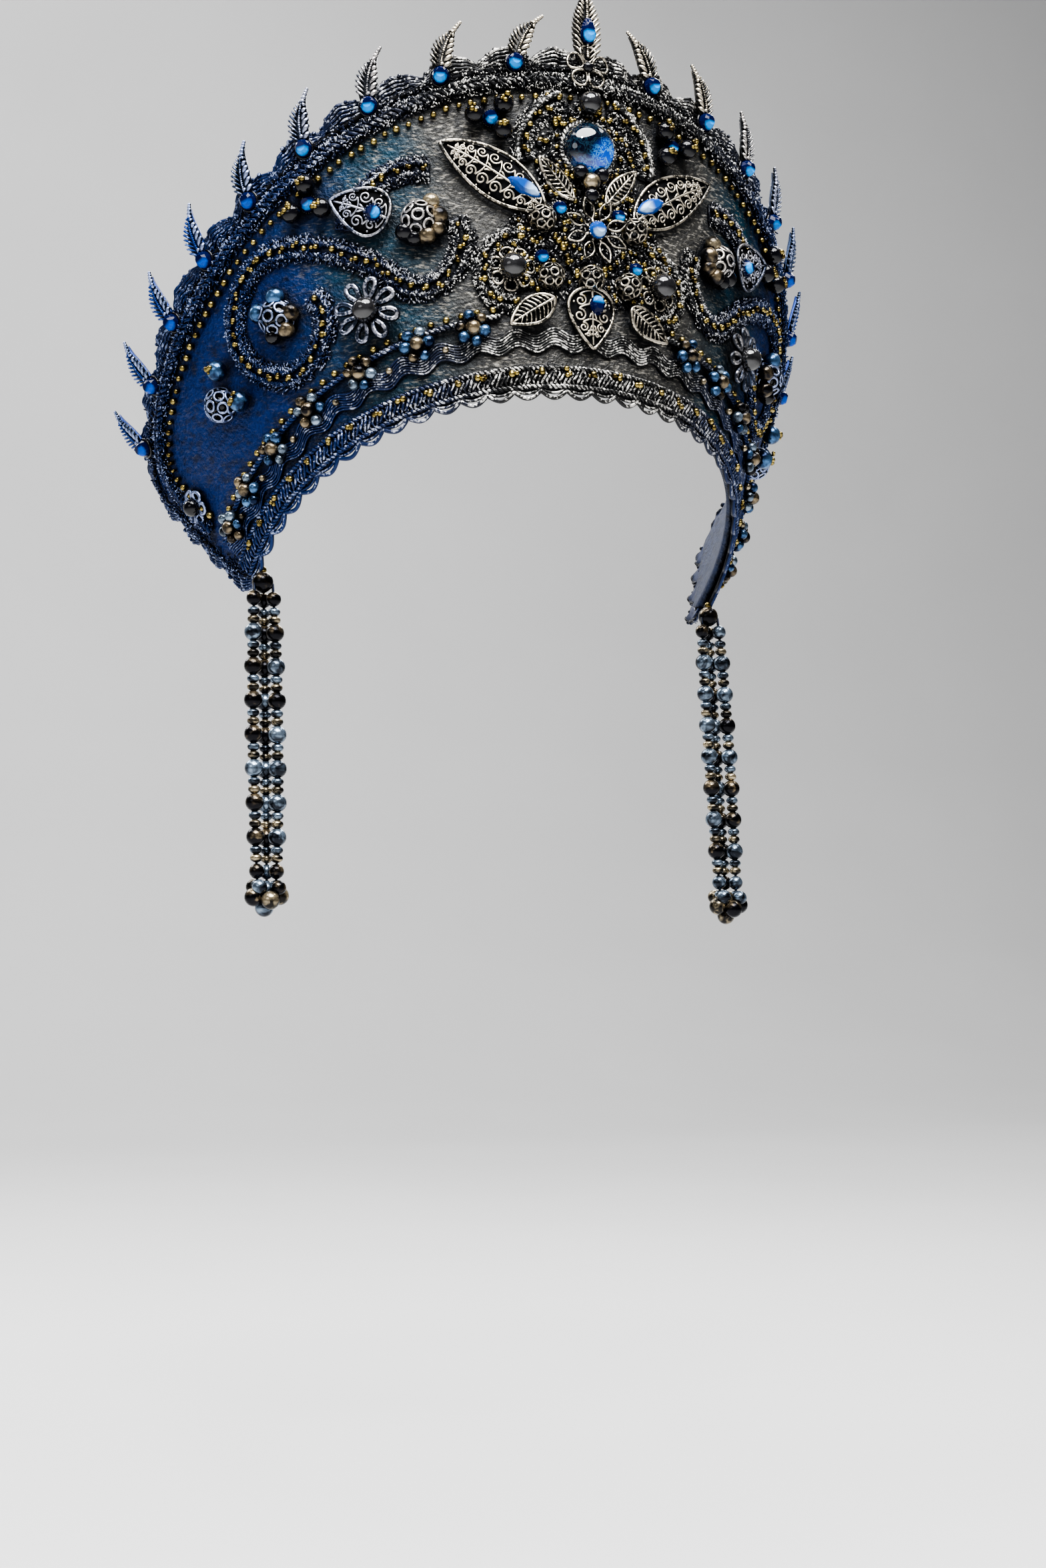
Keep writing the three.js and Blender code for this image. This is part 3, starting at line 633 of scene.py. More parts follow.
def fringe(work, route, half, low, high, finish, per_mm):
    """Short thread ends that stand out on both sides of a trim."""
    count = int(route.length * per_mm)
    side = rng.choice([-1, 1], count)
    share = rng.uniform(0, 1, count)
    run = rng.uniform(0.5, route.length - 0.5, count)
    centres = xyz(run, side * half * (0.25 + 0.75 * share), high - (high - low) * share)
    forward = rng.normal(0, 0.7, count)
    outward = side * rng.uniform(0.2, 1.5, count)
    lean = xyz(forward, outward, rng.uniform(-0.3, 0.9, count))
    length = rng.uniform(0.5, 1.3, count)
    width = rng.uniform(0.22, 0.42, count)
    work.add(grains(centres, lean, length, width), finish, route)


def seed_row(work, route, pitch, aside, radius, level=None, doubled=0.0):
    """Gold seed beads sewn along a line, not quite evenly; doubled is the share of them with a small twin."""
    spots = even_spots(route.length, pitch)
    count = len(spots)
    stray = 0.35 + 0.5 * doubled
    along = spots + rng.uniform(-stray, stray, count)
    centres = xyz(along, aside + rng.uniform(-stray, stray, count), level or radius * 0.85)
    work.add(balls(centres, radius * rng.uniform(0.8, 1.1, count), 8, 6), "gold", route)
    twins = centres[rng.uniform(0, 1, count) < doubled]
    if len(twins):
        twins = twins + xyz(*rng.uniform(-1.5, 1.5, (len(twins), 2)).T, 0.1)
        work.add(balls(twins, radius * rng.uniform(0.55, 0.8, len(twins)), 8, 5), "gold", route)


# The trims of the wall, one function for each
def crown_wall():
    """The wall itself: an outer skin that swells a little, and a lining."""
    columns = 240
    rows = 44
    height = np.concatenate([np.linspace(0, 1, rows), np.linspace(1, 0, rows)])
    lift = np.repeat([0.0, -WALL_THICKNESS], rows)
    edge = (height > 0.999) | (height < 0.001)
    lift = np.where(edge, np.where(lift < -1, WALL_BEVEL - WALL_THICKNESS, -WALL_BEVEL), lift)
    side = np.linspace(-1, 1, columns)
    angle, level = wall_place(side[:, None], height[None])
    swell = 0.25 * np.sin(angle * 0.31 + 2 * level) * np.sin(level * 23 + angle * 0.1)
    points = lifted(angle, level, lift[None] + np.where(lift > -0.5, swell, 0)).reshape(-1, 3)
    loop = 2 * rows
    column = np.arange(columns - 1)[:, None]
    around = np.arange(loop)[None]
    beside = (around + 1) % loop
    low = column * loop
    high = low + loop
    quads = np.stack([low + around, high + around, high + beside, low + beside], -1)
    step = np.arange(rows - 1)
    cap = np.stack([step, step + 1, loop - 2 - step, loop - 1 - step], -1)
    last = (columns - 1) * loop
    relief = np.full(len(points), 0.5)
    work = Work()
    outside = quads[:, : rows - 1].reshape(-1, 4)
    inside = quads[:, rows - 1 :].reshape(-1, 4)
    work.add((points, outside, NO_TRIS, relief), "cloth")
    work.faces.append((inside, NO_TRIS, "lining", True))
    work.faces.append((np.vstack([cap, cap[:, ::-1] + last]), NO_TRIS, "lining", False))
    make(work, "dressed_crown_wall", ["crown_wall"])


def edge_lace():
    scallops = 32
    share = np.linspace(0, 1, scallops * 24 + 1)
    end = 1 / 8
    side = np.clip((2 * share - 1) / (1 - 2 * end), -1, 1)
    height = np.minimum(1, np.minimum(share, 1 - share) / end)
    route = Route(np.column_stack(wall_place(side, height)))
    work = Work()
    wave = np.abs(np.sin(np.pi * scallops * share))
    run = route.run(share)
    crumple = (0.7 * np.sin(run * 0.45) + 0.5 * np.sin(run * 1.3 + 1)) * (0.3 + 0.7 * wave)
    peak = 4.2
    threads = 5
    for thread in range(threads):
        part = (thread + 1) / threads
        low = 0.5 + 2.6 * part
        rise = peak * part**1.2
        puff = 1.1 * np.sin(np.pi * part) * wave
        path = xyz(run, low + rise * wave, crumple - 1.4 + puff)
        work.add(tube(path, 0.8 if thread == threads - 1 else 0.62, 6), "lace", route)
    # Painted shade: a black tube in the seam under the lace
    work.add(tube(xyz(run, 0.3, -0.4)[::2], 0.9, 6), "felt", route)
    ground = np.array([0.2, 0.4, 0.7, 1.0])
    level = -1.8 + crumple[::4, None] * ground
    grid = xyz(run[::4, None], ground * (2.9 + peak * wave[::4, None]), level)
    work.add(plate(grid, 0.6, 0.7), "lace", route)
    along = (np.arange(scallops * 7) + 0.5) / (scallops * 7)
    crest = 3.5 + peak * np.abs(np.sin(np.pi * scallops * along))
    picots = xyz(route.run(along), crest, -1.5 + rng.uniform(-0.6, 0.6, len(along)))
    work.add(balls(picots, rng.uniform(0.6, 0.95, len(along)), 8, 5), "lace", route)
    count = 2200
    along = rng.uniform(0, 1, count)
    crest = 3.1 + peak * np.abs(np.sin(np.pi * scallops * along))
    across = rng.uniform(-0.7, 0.9, count) * crest
    centres = xyz(route.run(along), across, rng.uniform(-2.0, 0.5, count))
    centres[:, 2] = np.where(centres[:, 1] < 0.4, rng.uniform(0.2, 0.9, count), centres[:, 2])
    work.add(grains(centres, rng.normal(size=(count, 3)), rng.uniform(0.6, 1.1, count), 0.32), "lace", route)
    count = 1300
    along = rng.uniform(0.5, route.length - 0.5, count)
    across = rng.uniform(-1.2, 1.6, count)
    centres = xyz(along, across, rng.uniform(0.1, 0.9, count))
    for finish, chosen in (("bristle", slice(0, None, 2)), ("lace", slice(1, None, 2))):
        lean = rng.normal(size=(count, 3))
        work.add(grains(centres[chosen], lean[chosen], 0.9, 0.34), finish, route)
    make(work, "dressed_edge_lace", ["edge_lace"])


EDGE_CORD_HALF = [(0, 0.955), (50, 0.95), (85, 0.935), (95, 0.9), (99, 0.8), (98, 0.55), (95, 0.34)]


def edge_cord():
    rows = [(-angle, height) for angle, height in EDGE_CORD_HALF[:0:-1]] + EDGE_CORD_HALF
    route = Route(smooth_rows(rows))
    work = Work()
    twist(work, route, "lace", wind=0.8, wire=0.75, pitch=4.6, level=1.4, flat=0.7)
    fringe(work, route, half=2.9, low=0.6, high=2.9, finish="bristle", per_mm=7.5)
    make(work, "dressed_edge_cord", ["edge_cord"])
    seeds = Work()
    seed_row(seeds, route, pitch=4.4, aside=-5.2, radius=1.2)
    make(seeds, "seed_row_edge")


def flat_route(height, start, end, count=900):
    """A line round the wall at one height."""
    return Route([(angle, height) for angle in np.linspace(start, end, count)])


RIM_ROUTE = flat_route(0.02, -RIM_ANGLE, RIM_ANGLE)
RIM_SCALLOPS = round(RIM_ROUTE.length / 9.6)


def rim_braid():
    route = RIM_ROUTE
    work = Work()
    share = np.linspace(0, 1, RIM_SCALLOPS * 16 + 1)
    run = route.run(share)
    wave = np.abs(np.sin(np.pi * RIM_SCALLOPS * share))
    for low, rise, wire in ((-3.9, -2.5, 0.75), (-3.3, -1.4, 0.5)):
        work.add(tube(xyz(run, low + rise * wave, 1.1), wire, 6), "braid", route)
    loops = RIM_SCALLOPS * 3
    for phase in (0, 0.5):
        turn = 2 * np.pi * (loops * share + phase)
        path = xyz(run + 0.9 * np.sin(2 * turn), 0.3 + 2.7 * np.sin(turn), 1.35 + 0.4 * np.cos(turn))
        work.add(tube(path, 0.58, 6), "braid", route)
    for aside, wind in ((3.4, 0.5), (-2.7, 0.45)):
        twist(work, route, "braid", wind, wire=0.58, pitch=3.2, aside=aside)
    work.add(plate(xyz(run[::4, None], np.linspace(-4.2, 3.9, 4), 0.5), 0.5), "lace", route)
    junctions = route.run(np.arange(1, RIM_SCALLOPS) / RIM_SCALLOPS)
    count = len(junctions)
    for _ in range(3):
        along = junctions + rng.normal(0, 0.8, count)
        aside = 1.6 + rng.normal(0, 0.6, count)
        centres = xyz(along, aside, 2.0 + rng.uniform(0, 0.5, count))
        work.add(balls(centres, rng.uniform(0.7, 1.2, count), 8, 6), "gold", route)
    make(work, "dressed_rim_braid", ["rim_braid"])


def wave_lace():
    route = flat_route(0.14, -92, 92)
    waves = round(route.length / 13.5)
    share = np.linspace(0, 1, waves * 14 + 1)
    run = route.run(share)
    shift = 1.25 * np.cos(2 * np.pi * waves * share)
    work = Work()
    for thread in range(7):
        path = xyz(run, shift + (thread - 3) * 0.9, 0.85 + 0.15 * np.cos(thread * np.pi + run))
        work.add(tube(path, 0.42, 6), "braid", route)
    grid = xyz(run[::2, None], shift[::2, None] + np.linspace(-2.9, 2.9, 3), 0.4)
    work.add(plate(grid, 0.3), "lace", route)
    make(work, "dressed_wave_lace", ["wave_lace"])


BAND_HEIGHT = 0.222
CLUSTER_ANGLES = [-24, -35, -47, -59, -69.5, -79.5, -88]


def bead_band():
    route = flat_route(BAND_HEIGHT, -18, -93, 300)
    work = Work()
    twist(work, route, "braid", wind=0.5, wire=0.62, pitch=3.4)
    spots = even_spots(route.length, 5.0)
    work.add(balls(xyz(spots, -2.3, 1.3), 1.2, 10, 6), "gold", route)
    kinds = ["steel", "bead", "steel", "pewter"]
    for number, angle in enumerate(CLUSTER_ANGLES):
        place = on_wall(angle, BAND_HEIGHT, 0, 0)
        work.bead((0.2, -2.9, 4.3), 2.5, "bead", place, 14)
        start = rng.uniform(0, 60)
        for spoke in range(6):
            turn = np.radians(start + 60 * spoke + rng.uniform(-6, 6))
            spot = (3.9 * np.cos(turn), -2.9 + 4.3 * np.sin(turn), 3.2 + rng.uniform(-0.3, 0.4))
            work.bead(spot, rng.uniform(1.75, 2.1), kinds[rng.integers(0, 4)], place, 12)
        if number:
            between = on_wall((angle + CLUSTER_ANGLES[number - 1]) / 2, 0.15)
            work.bead((0, 0, 2.2), 1.2, "champagne", between, 10)
    make_pair(work, "bead_band")


SCROLLS = {
    "scroll_s": (4.6, [
        (-52.5, 0.55), (-51, 0.48), (-52, 0.4), (-56, 0.345), (-62, 0.37), (-67, 0.49), (-69, 0.64),
        (-66.5, 0.76), (-60, 0.805), (-52.5, 0.73), (-46, 0.625), (-39.5, 0.5), (-35, 0.4),
        (-30.5, 0.365), (-26, 0.4), (-23.5, 0.48), (-24.5, 0.56),
    ]),
    "scroll_cap": (4.6, [(-27.5, 0.735), (-32.5, 0.765), (-38, 0.755), (-42, 0.71), (-43, 0.665)]),
    "scroll_pearl": (3.4, [
        (-12, 0.465), (-17, 0.455), (-20, 0.4), (-20.3, 0.34), (-18.5, 0.275), (-14.5, 0.255),
    ]),
    "scroll_arch": (4.0, [(-4.4, 0.905), (-7.5, 0.87), (-10.6, 0.8), (-11.7, 0.745), (-11.5, 0.7)]),
}


def scrolls():
    for name, (width, rows) in SCROLLS.items():
        route = Route(smooth_rows(rows))
        work = Work()
        half = width / 2
        is_arch = name == "scroll_arch"
        for aside in (half - 0.4, 0.4 - half):
            finish, wire = ("braid", 0.95) if is_arch and aside < 0 else ("lace", 0.5)
            twist(work, route, finish, wind=0.45, wire=wire, pitch=3.3, aside=aside, level=1.2)
        fringe(work, route, half=half + 2.1, low=0.4, high=2.3, finish="bristle", per_mm=12.0)
        aside = 0.5 if is_arch else 0.0
        seed_row(work, route, pitch=4.4, aside=aside, radius=1.1, level=2.2, doubled=0.9)
        tape = np.linspace(0, route.length, int(route.length))[:, None]
        work.add(plate(xyz(tape, np.linspace(-half - 0.6, half + 0.6, 3), 0.5), 0.5), "lace", route)
        make_pair(work, name)


# Cast leaves on the upper edge
def lobe(length, half, turn, shift, thick):
    """A leaf lobe that lies along its own axis from shift, thickest near its end."""
    points, quads, tris, _ = ball(8, 6)
    relief = np.clip(points[:, 2] * 0.6 + 0.4, 0, 1)
    along = points[:, 0] * 0.5 + 0.5
    taper = 0.45 + 0.75 * along
    rise = 0.5 * np.sin(np.pi * along)
    shaped = xyz(along * length, points[:, 1] * half * taper, points[:, 2] * thick * taper + rise)
    return moved((shaped, quads, tris, relief), shift, turn)


def spike(work, place, length, width, curl, pairs, finish):
    """A cast claw: slim barbs on its outer side, round lobes on its inner side and a curled tip."""
    foot = 3.0
    scale = width / 8.0

    def rib(share):
        share = np.asarray(share, float)
        return xyz(curl * share**2.4, foot + length * 0.95 * share, 1.5)

    def half(share):
        return 0.55 * width * (1 - share**2.2) * (0.68 + 0.32 * np.sin(np.pi * share))

    rows = np.linspace(0, 0.97, 14)
    across = np.linspace(-1, 1, 7)
    reach = half(rows)[:, None] * np.where(across < 0, 0.86, 0.70) * across
    grid = rib(rows)[:, None] + xyz(reach, 0, 0.9 * (1 - across**2) - 0.7)
    work.add(plate(grid, 0.9, 0.85), finish, place)
    behind = rib(np.linspace(0.02, 0.9, 10)) - [0, 0, 0.5]
    work.add(tube(behind, np.linspace(0.6, 0.35, 10) * scale, 6, out=-OUT), finish, place)
    is_even = curl == 0
    inner = (1, pairs + 3, 0.5) if is_even else (1, pairs, 0.95)
    for side, count, thick in ((-1, pairs + 3, 0.5), inner):
        for barb in range(count):
            share = 0.86 * barb / count
            lean = np.degrees(np.arctan(curl * 2.4 * share**1.4 / length))
            size = max(1.3, half(share + 0.12) * (1.42 if side < 0 or is_even else 1.12))
            turn = 90 - lean - side * (46 - 14 * share)
            start = rib(share) + [side * 0.35 * scale, 0, 0.2]
            work.add(lobe(size, thick * scale, turn, start, 0.9), finish if side < 0 else "rubbed", place)
    spots = rib(np.linspace(0.02, 0.8, pairs * 3)) + [0, 0, 0.95]
    work.add(balls(spots, 0.5 * scale, 6, 4), finish, place)
    tip = rib(np.array([0.82, 0.89, 0.95, 1.0, 1.04])) + [0, 0, 0.3]
    work.add(balls(tip, np.array([0.95, 0.9, 0.8, 0.7, 0.62]) * scale, 8, 5), "rubbed", place)


def foot_stone(work, place, radius):
    """A stone in a dark ring at the foot of a claw, with a small bead above it."""
    ring = np.linspace(0, 2 * np.pi, 20, endpoint=False)
    rim = xyz(np.cos(ring) * radius, 0.8 + 1.1 * np.sin(ring) * radius, 1.0)
    work.add(tube(rim, 0.5, 6, closed=True), "black", place)
    gem = cut_stone(width=radius * 1.9, length=radius * 2.1, height=radius * 1.4, sides=12)
    work.gem(gem, (0, 0.8, 0.5), place)
    work.bead((0.3, 0.8 + 1.25 * radius, 2.4), 0.75, "rubbed", place, 8)


def angle_along_top(distance):
    angle = np.linspace(0, 110, 2201)
    steps = np.linalg.norm(np.diff(wall_point(angle, np.ones(2201)), axis=0), axis=1)
    return np.interp(distance, np.concatenate([[0], np.cumsum(steps)]), angle)


def pear(turn):
    y = np.sin(turn)
    return np.stack([np.cos(turn) * (1 - 0.35 * y) ** 0.8, y * (1 + 0.2 * (y > 0))], -1)


def marquise(turn):
    return np.stack([np.cos(turn) * np.abs(np.cos(turn)) ** 0.35, np.sin(turn)], -1)


SPIKE_PITCH = 24.9
SPIKE_HEIGHT = 1.005


def spikes():
    for number in range(1, 10):
        lean = 22 - 5 * max(0, number - 5)
        place = on_wall(-angle_along_top(number * SPIKE_PITCH), SPIKE_HEIGHT, -lean)
        work = Work()
        finish = "blue" if number > 5 else "silver"
        spike(work, place, length=16.5, width=8.0, curl=4.4, pairs=6, finish=finish)
        foot_stone(work, place, radius=3.0)
        make_pair(work, "leaf_spike", suffix=f"_{number}")
    work = Work()
    place = on_wall(0, SPIKE_HEIGHT)
    spike(work, place, length=29, width=10.5, curl=0, pairs=10, finish="silver")
    stone = cut_stone(width=5.2, length=8.5, height=3.2, sides=12, outline=pear)
    work.gem(stone, (0, 12.0, 2.2), place)
    petals(work, place, radius=7.8, count=5, wire=0.5, finish="silver", turn=90, inner=0.2, level=2.0)
    work.bead((0, 0, 2.2), 1.9, "black", place, 14)
    make(work, "dressed_leaf_spike_center", ["leaf_spike_center"])


# Flowers and filigree leaves
def petals(work, place, radius, count, wire, finish, turn=0.0, inner=0.3, level=1.0, slim=0.78):
    """A ring of open wire petals."""
    t = np.linspace(0, 2 * np.pi, 22, endpoint=False)
    grow = (1 - np.cos(t)) / 2
    reach = radius * (inner + (1 - inner) * grow) - wire * grow
    half = radius * np.sin(np.pi / count) * slim
    aside = half * np.sin(t) * (0.45 + 0.55 * grow)
    rise = level + 0.5 * np.sin(np.pi * grow)
    loop = tube(xyz(reach, aside, rise), wire, 6, closed=True, flat=1.1)
    for petal in range(count):
        work.add(moved(loop, turn=turn + 360 * petal / count), finish, place)


def pointed_petals(work, place, radius, count, half, wire, finish):
    """Long loops of one wire, pointed at the tip, on short stems."""
    share = np.concatenate([np.linspace(0, 1, 13), np.linspace(1, 0, 13)[1:-1]])
    side = np.repeat([1, -1], [13, 11])
    reach = radius * (0.36 + 0.64 * share)
    aside = side * half * np.sin(np.pi * share**0.9)
    loop = tube(xyz(reach, aside, 1.6 + 0.9 * share), wire, 6, closed=True)
    stem = tube([[radius * 0.1, 0, 1.5], [radius * 0.24, 0, 1.55], [radius * 0.4, 0, 1.6]], wire * 1.3, 6)
    for petal in range(count):
        spin = 360 * (petal + 0.5) / count
        work.add(moved(loop, turn=spin), finish, place)
        work.add(moved(stem, turn=spin), finish, place)


def beaded_ring(work, place, radius, bead, finish, centre=(0, 0), level=1.0):
    count = max(8, int(2 * np.pi * radius / (bead * 2.05)))
    turn = np.arange(count) * 2 * np.pi / count
    spots = xyz(centre[0] + radius * np.cos(turn), centre[1] + radius * np.sin(turn), level)
    work.add(balls(spots, bead, 8, 5), finish, place)


def ring_cap(work, place, radius, height, ring, wire, finish, level=0.0):
    """A filigree cap: small wire rings over a dome."""
    rows = [(0, 1), (48, 6), (84, 9)]
    t = np.linspace(0, 2 * np.pi, 14, endpoint=False)
    for tilt, count in rows:
        for step in range(count):
            spin = 2 * np.pi * (step + 0.5 * (tilt > 60)) / count
            slope = np.radians(tilt)
            normal = np.array([np.sin(slope) * np.cos(spin), np.sin(slope) * np.sin(spin), np.cos(slope)])
            across = np.array([-np.sin(spin), np.cos(spin), 0.0])
            over = np.cross(normal, across)
            path = normal * radius + ring * (np.cos(t)[:, None] * across + np.sin(t)[:, None] * over)
            points, quads, tris, relief = tube(path, wire, 6, closed=True, out=normal)
            points = points * [1, 1, height / radius] + OUT * level
            work.add((points, quads, tris, relief), finish, place)


def flowers():
    place = at("pearl_flower")
    work = Work()
    petals(work, place, radius=7.8, count=7, wire=0.5, finish="silver", inner=0.4, slim=0.8)
    beaded_ring(work, place, radius=4.0, bead=0.6, finish="silver", level=1.6)
    work.bead((0, 0, 4.2), 4.2, "pearl", place, 24)
    make_pair(work, "pearl_flower")
    place = at("side_flower")
    work = Work()
    petals(work, place, radius=11.2, count=8, wire=0.95, finish="silver", inner=0.36, slim=0.5, level=1.6)
    beaded_ring(work, place, radius=3.6, bead=0.7, finish="lace", level=1.4)
    work.bead((0, 0, 3.8), 4.0, "pearl", place, 24)
    make_pair(work, "side_flower")
    place = at("star_flower")
    work = Work()
    pointed_petals(work, place, radius=11.2, count=8, half=1.75, wire=0.42, finish="silver")
    work.gem(cut_stone(width=6.0, height=4, sides=12), (0, 0, 1.2), place, finish="pale_stone")
    beaded_ring(work, place, radius=2.9, bead=0.5, finish="lace", level=2.2)
    make(work, "dressed_star_flower", ["star_flower"])


def leaf_half(width, share, fullness):
    return width / 2 * np.sin(np.pi * np.clip(share, 0, 1) ** fullness) ** 0.8


def leaf_rim(work, domed, length, width, fullness):
    """The outline of a leaf over a dark ground: a black plate of painted shade under its wires."""
    share = np.concatenate([np.linspace(0.004, 0.996, 34), np.linspace(0.996, 0.004, 34)])
    side = np.repeat([1, -1], 34)
    half = leaf_half(width - 1.2, share, fullness)
    outline = xyz(side * half, length * (share - 0.5) * 0.97, 0.9)
    work.add(tube(outline, 0.62, 6, closed=True, flat=1.2), "silver", domed)
    rows = np.linspace(0.03, 0.97, 24)
    across = np.linspace(-0.92, 0.92, 7)
    x = leaf_half(width - 1.6, rows, fullness)[:, None] * across
    y = (length * (rows - 0.5) * 0.97)[:, None]
    # Painted shade: a black plate under the open wirework
    work.add(plate(xyz(x, y, 0.15), 0.2), "felt", domed)


def over_dome(place, width, crown):
    def domed(points):
        rise = crown * np.cos(np.pi * points[:, 0] / (width * 1.05))
        return place(points + OUT * rise[:, None])

    return domed


def curl(centre, radius, side, wire):
    """A wire spiral that opens towards the leaf's tip, with a ball at its heart."""
    t = np.linspace(0, 1, 22)
    turn = np.radians(-100 + 470 * t)
    reach = radius * (1 - 0.78 * t)
    path = xyz(centre[0] + side * -reach * np.cos(turn), centre[1] + reach * np.sin(turn), 0.9)
    return tube(path[::-1] if side < 0 else path, wire, 5), path[-1]


def veined_leaf(work, place, length, width, fullness, crown):
    """A leaf with a midrib and slanting veins."""
    domed = over_dome(place, width, crown)
    leaf_rim(work, domed, length, width, fullness)
    rib = xyz(0, length * np.linspace(-0.5, 0.46, 14), 1.0)
    work.add(tube(rib, np.linspace(0.6, 0.35, 14), 6), "silver", domed)
    count = 8
    part = np.linspace(0, 1, 6)
    rise = 0.9 + 0.25 * np.sin(np.pi * part)
    for vein in range(count):
        start = -0.40 + 0.72 * vein / count
        stop = start + 0.12
        reach = max(0.4, leaf_half(width - 1.2, stop + 0.5, fullness))
        for hand in (1, -1):
            path = xyz(hand * reach * part, length * (start + 0.12 * part**1.4), rise)
            work.add(tube(path, 0.36, 5), "silver", domed)


def filigree_leaf(work, place, length, width, fullness, crown):
    """A leaf of slanting stems, each ending in a curl, with seeds along the midrib."""
    domed = over_dome(place, width, crown)
    leaf_rim(work, domed, length, width, fullness)
    rib = xyz(0, length * np.linspace(-0.46, 0.42, 16), 1.0)
    work.add(tube(rib, np.linspace(0.5, 0.3, 16), 6), "rubbed", domed)
    wire = 0.33
    knots = []
    share = np.linspace(0, 1, 8)
    y = -0.43 * length
    while y < 0.38 * length:
        room = leaf_half(width, (y + 2.4) / length + 0.5, fullness) - 1.3
        size = max(0.75, 0.31 * room)
        if room > 1.5:
            for hand in (1, -1):
                middle = (hand * 0.60 * room, y + 0.55 * room)
                wound, heart = curl(middle, size, hand, wire)
                work.add(wound, "rubbed", domed)
                knots.append(heart + [0, 0, 0.2])
                knots.append([hand * 0.95 * room, y + 0.30 * room + size, 0.9])
                reach = hand * (0.60 * room + size * 0.17) * share**0.8
                stem = xyz(reach, y + (0.55 * room - size) * share**1.6, 0.9)
                work.add(tube(stem, wire, 5), "rubbed", domed)
                seed = lobe(0.42 * room, 0.4, 90 - hand * 24, (hand * 0.25, y + 0.35 * room, 0.7), 0.5)
                work.add(seed, "rubbed", domed)
            y += 2.3 * size
        else:
            y += 0.6
    work.add(balls(knots, 0.42, 6, 4), "rubbed", domed)


def leaves():
    place = at("big_leaf")
    work = Work()
    filigree_leaf(work, place, length=41, width=17, fullness=0.85, crown=2)
    stone = cut_stone(width=5.2, length=12, height=3.6, sides=12, outline=marquise)
    work.gem(stone, (1.6, -10.5, 1.8), place, turn=8, finish="pale_stone")
    beaded_ring(work, at("big_leaf_foot"), radius=2.6, bead=0.8, finish="silver", level=2.2)
    make_pair(work, "big_leaf")
    place = at("heart_leaf")
    work = Work()
    filigree_leaf(work, place, length=21, width=17, fullness=0.62, crown=1.2)
    work.gem(cut_stone(width=5.4, height=3.4), (0, -5, 1.4), place)
    beaded_ring(work, place, radius=2.9, bead=0.5, finish="lace", centre=(0, -5), level=2.2)
    make_pair(work, "heart_leaf")
    for name, length, width, fullness in (("cabochon_leaf", 18, 7.6, 0.85), ("low_leaf", 17, 10, 0.8)):
        work = Work()
        veined_leaf(work, at(name), length, width, fullness, crown=1.2)
        make_pair(work, name)
    place = at("drop_leaf")
    work = Work()
    filigree_leaf(work, place, length=21.5, width=17, fullness=0.62, crown=1.2)
    work.gem(cut_stone(width=5, length=7, height=3.2, sides=12), (-1.5, -4.5, 1.4), place)
    make(work, "dressed_drop_leaf", ["drop_leaf"])


# Beads, nests and the cabochon
def capped_bead(work, place, spot, radius, finish):
    """A bead with gold crumbs on top."""
    x, y = spot
    work.bead((x, y, radius), radius, finish, place)
    across = x + rng.normal(0, 0.3 * radius, 5)
    crumbs = xyz(across, y + radius * 0.35 + rng.normal(0, 0.25 * radius, 5), 1.93 * radius)
    work.add(balls(crumbs, radius * rng.uniform(0.16, 0.32, 5), 8, 5), "gold", place)


def nest(work, place, beads):
    """A filigree cap over a dark ball, with beads round it: x, y, radius and finish."""
    work.bead((0, 0, 2.2), 4.7, "black", place, 20, squash=0.85)
    ring_cap(work, place, radius=5.6, height=5.6, ring=1.75, wire=0.48, finish="rubbed", level=1.4)
    for x, y, radius, kind in beads:
        work.bead((x, y, radius * 0.85), radius, kind, place)


NESTS = {
    "bead_nest_inner": [
        (-5.8, -2.4, 3.2, "black"), (6.0, -1.4, 3.2, "bead"), (0.5, -6.2, 3.2, "bead"),
        (-3.6, -5.4, 2.8, "black"), (4.6, -5.0, 2.8, "bead"), (5.2, 4.0, 2.8, "champagne"),
    ],
    "bead_nest_outer": [
        (-3.6, 5.2, 3.3, "steel"), (4.2, 4.8, 3.3, "steel"), (0.6, -6.0, 3, "bead"),
        (-4.6, -4.2, 2.8, "black"), (5.4, -2.6, 3.0, "bead"),
    ],
}
TRIOS = {
    "bead_trio_upper": [(-5.2, 1.6), (4.6, 3.4), (2.6, -5)],
    "bead_trio_side": [(3, 5), (-5.8, 0.2), (3.4, -4.8)],
}


def bead_groups():
    for name, beads in NESTS.items():
        work = Work()
        nest(work, at(name), beads)
        make_pair(work, name)
    for name, beads in TRIOS.items():
        work = Work()
        place = at(name)
        for spot in beads:
            capped_bead(work, place, spot, 3.3, "black")
        work.gem(cut_stone(width=5.4, height=3.6), (0, 0, 0.3), place)
        beaded_ring(work, place, radius=2.8, bead=0.4, finish="black", level=0.9)
        make_pair(work, name)


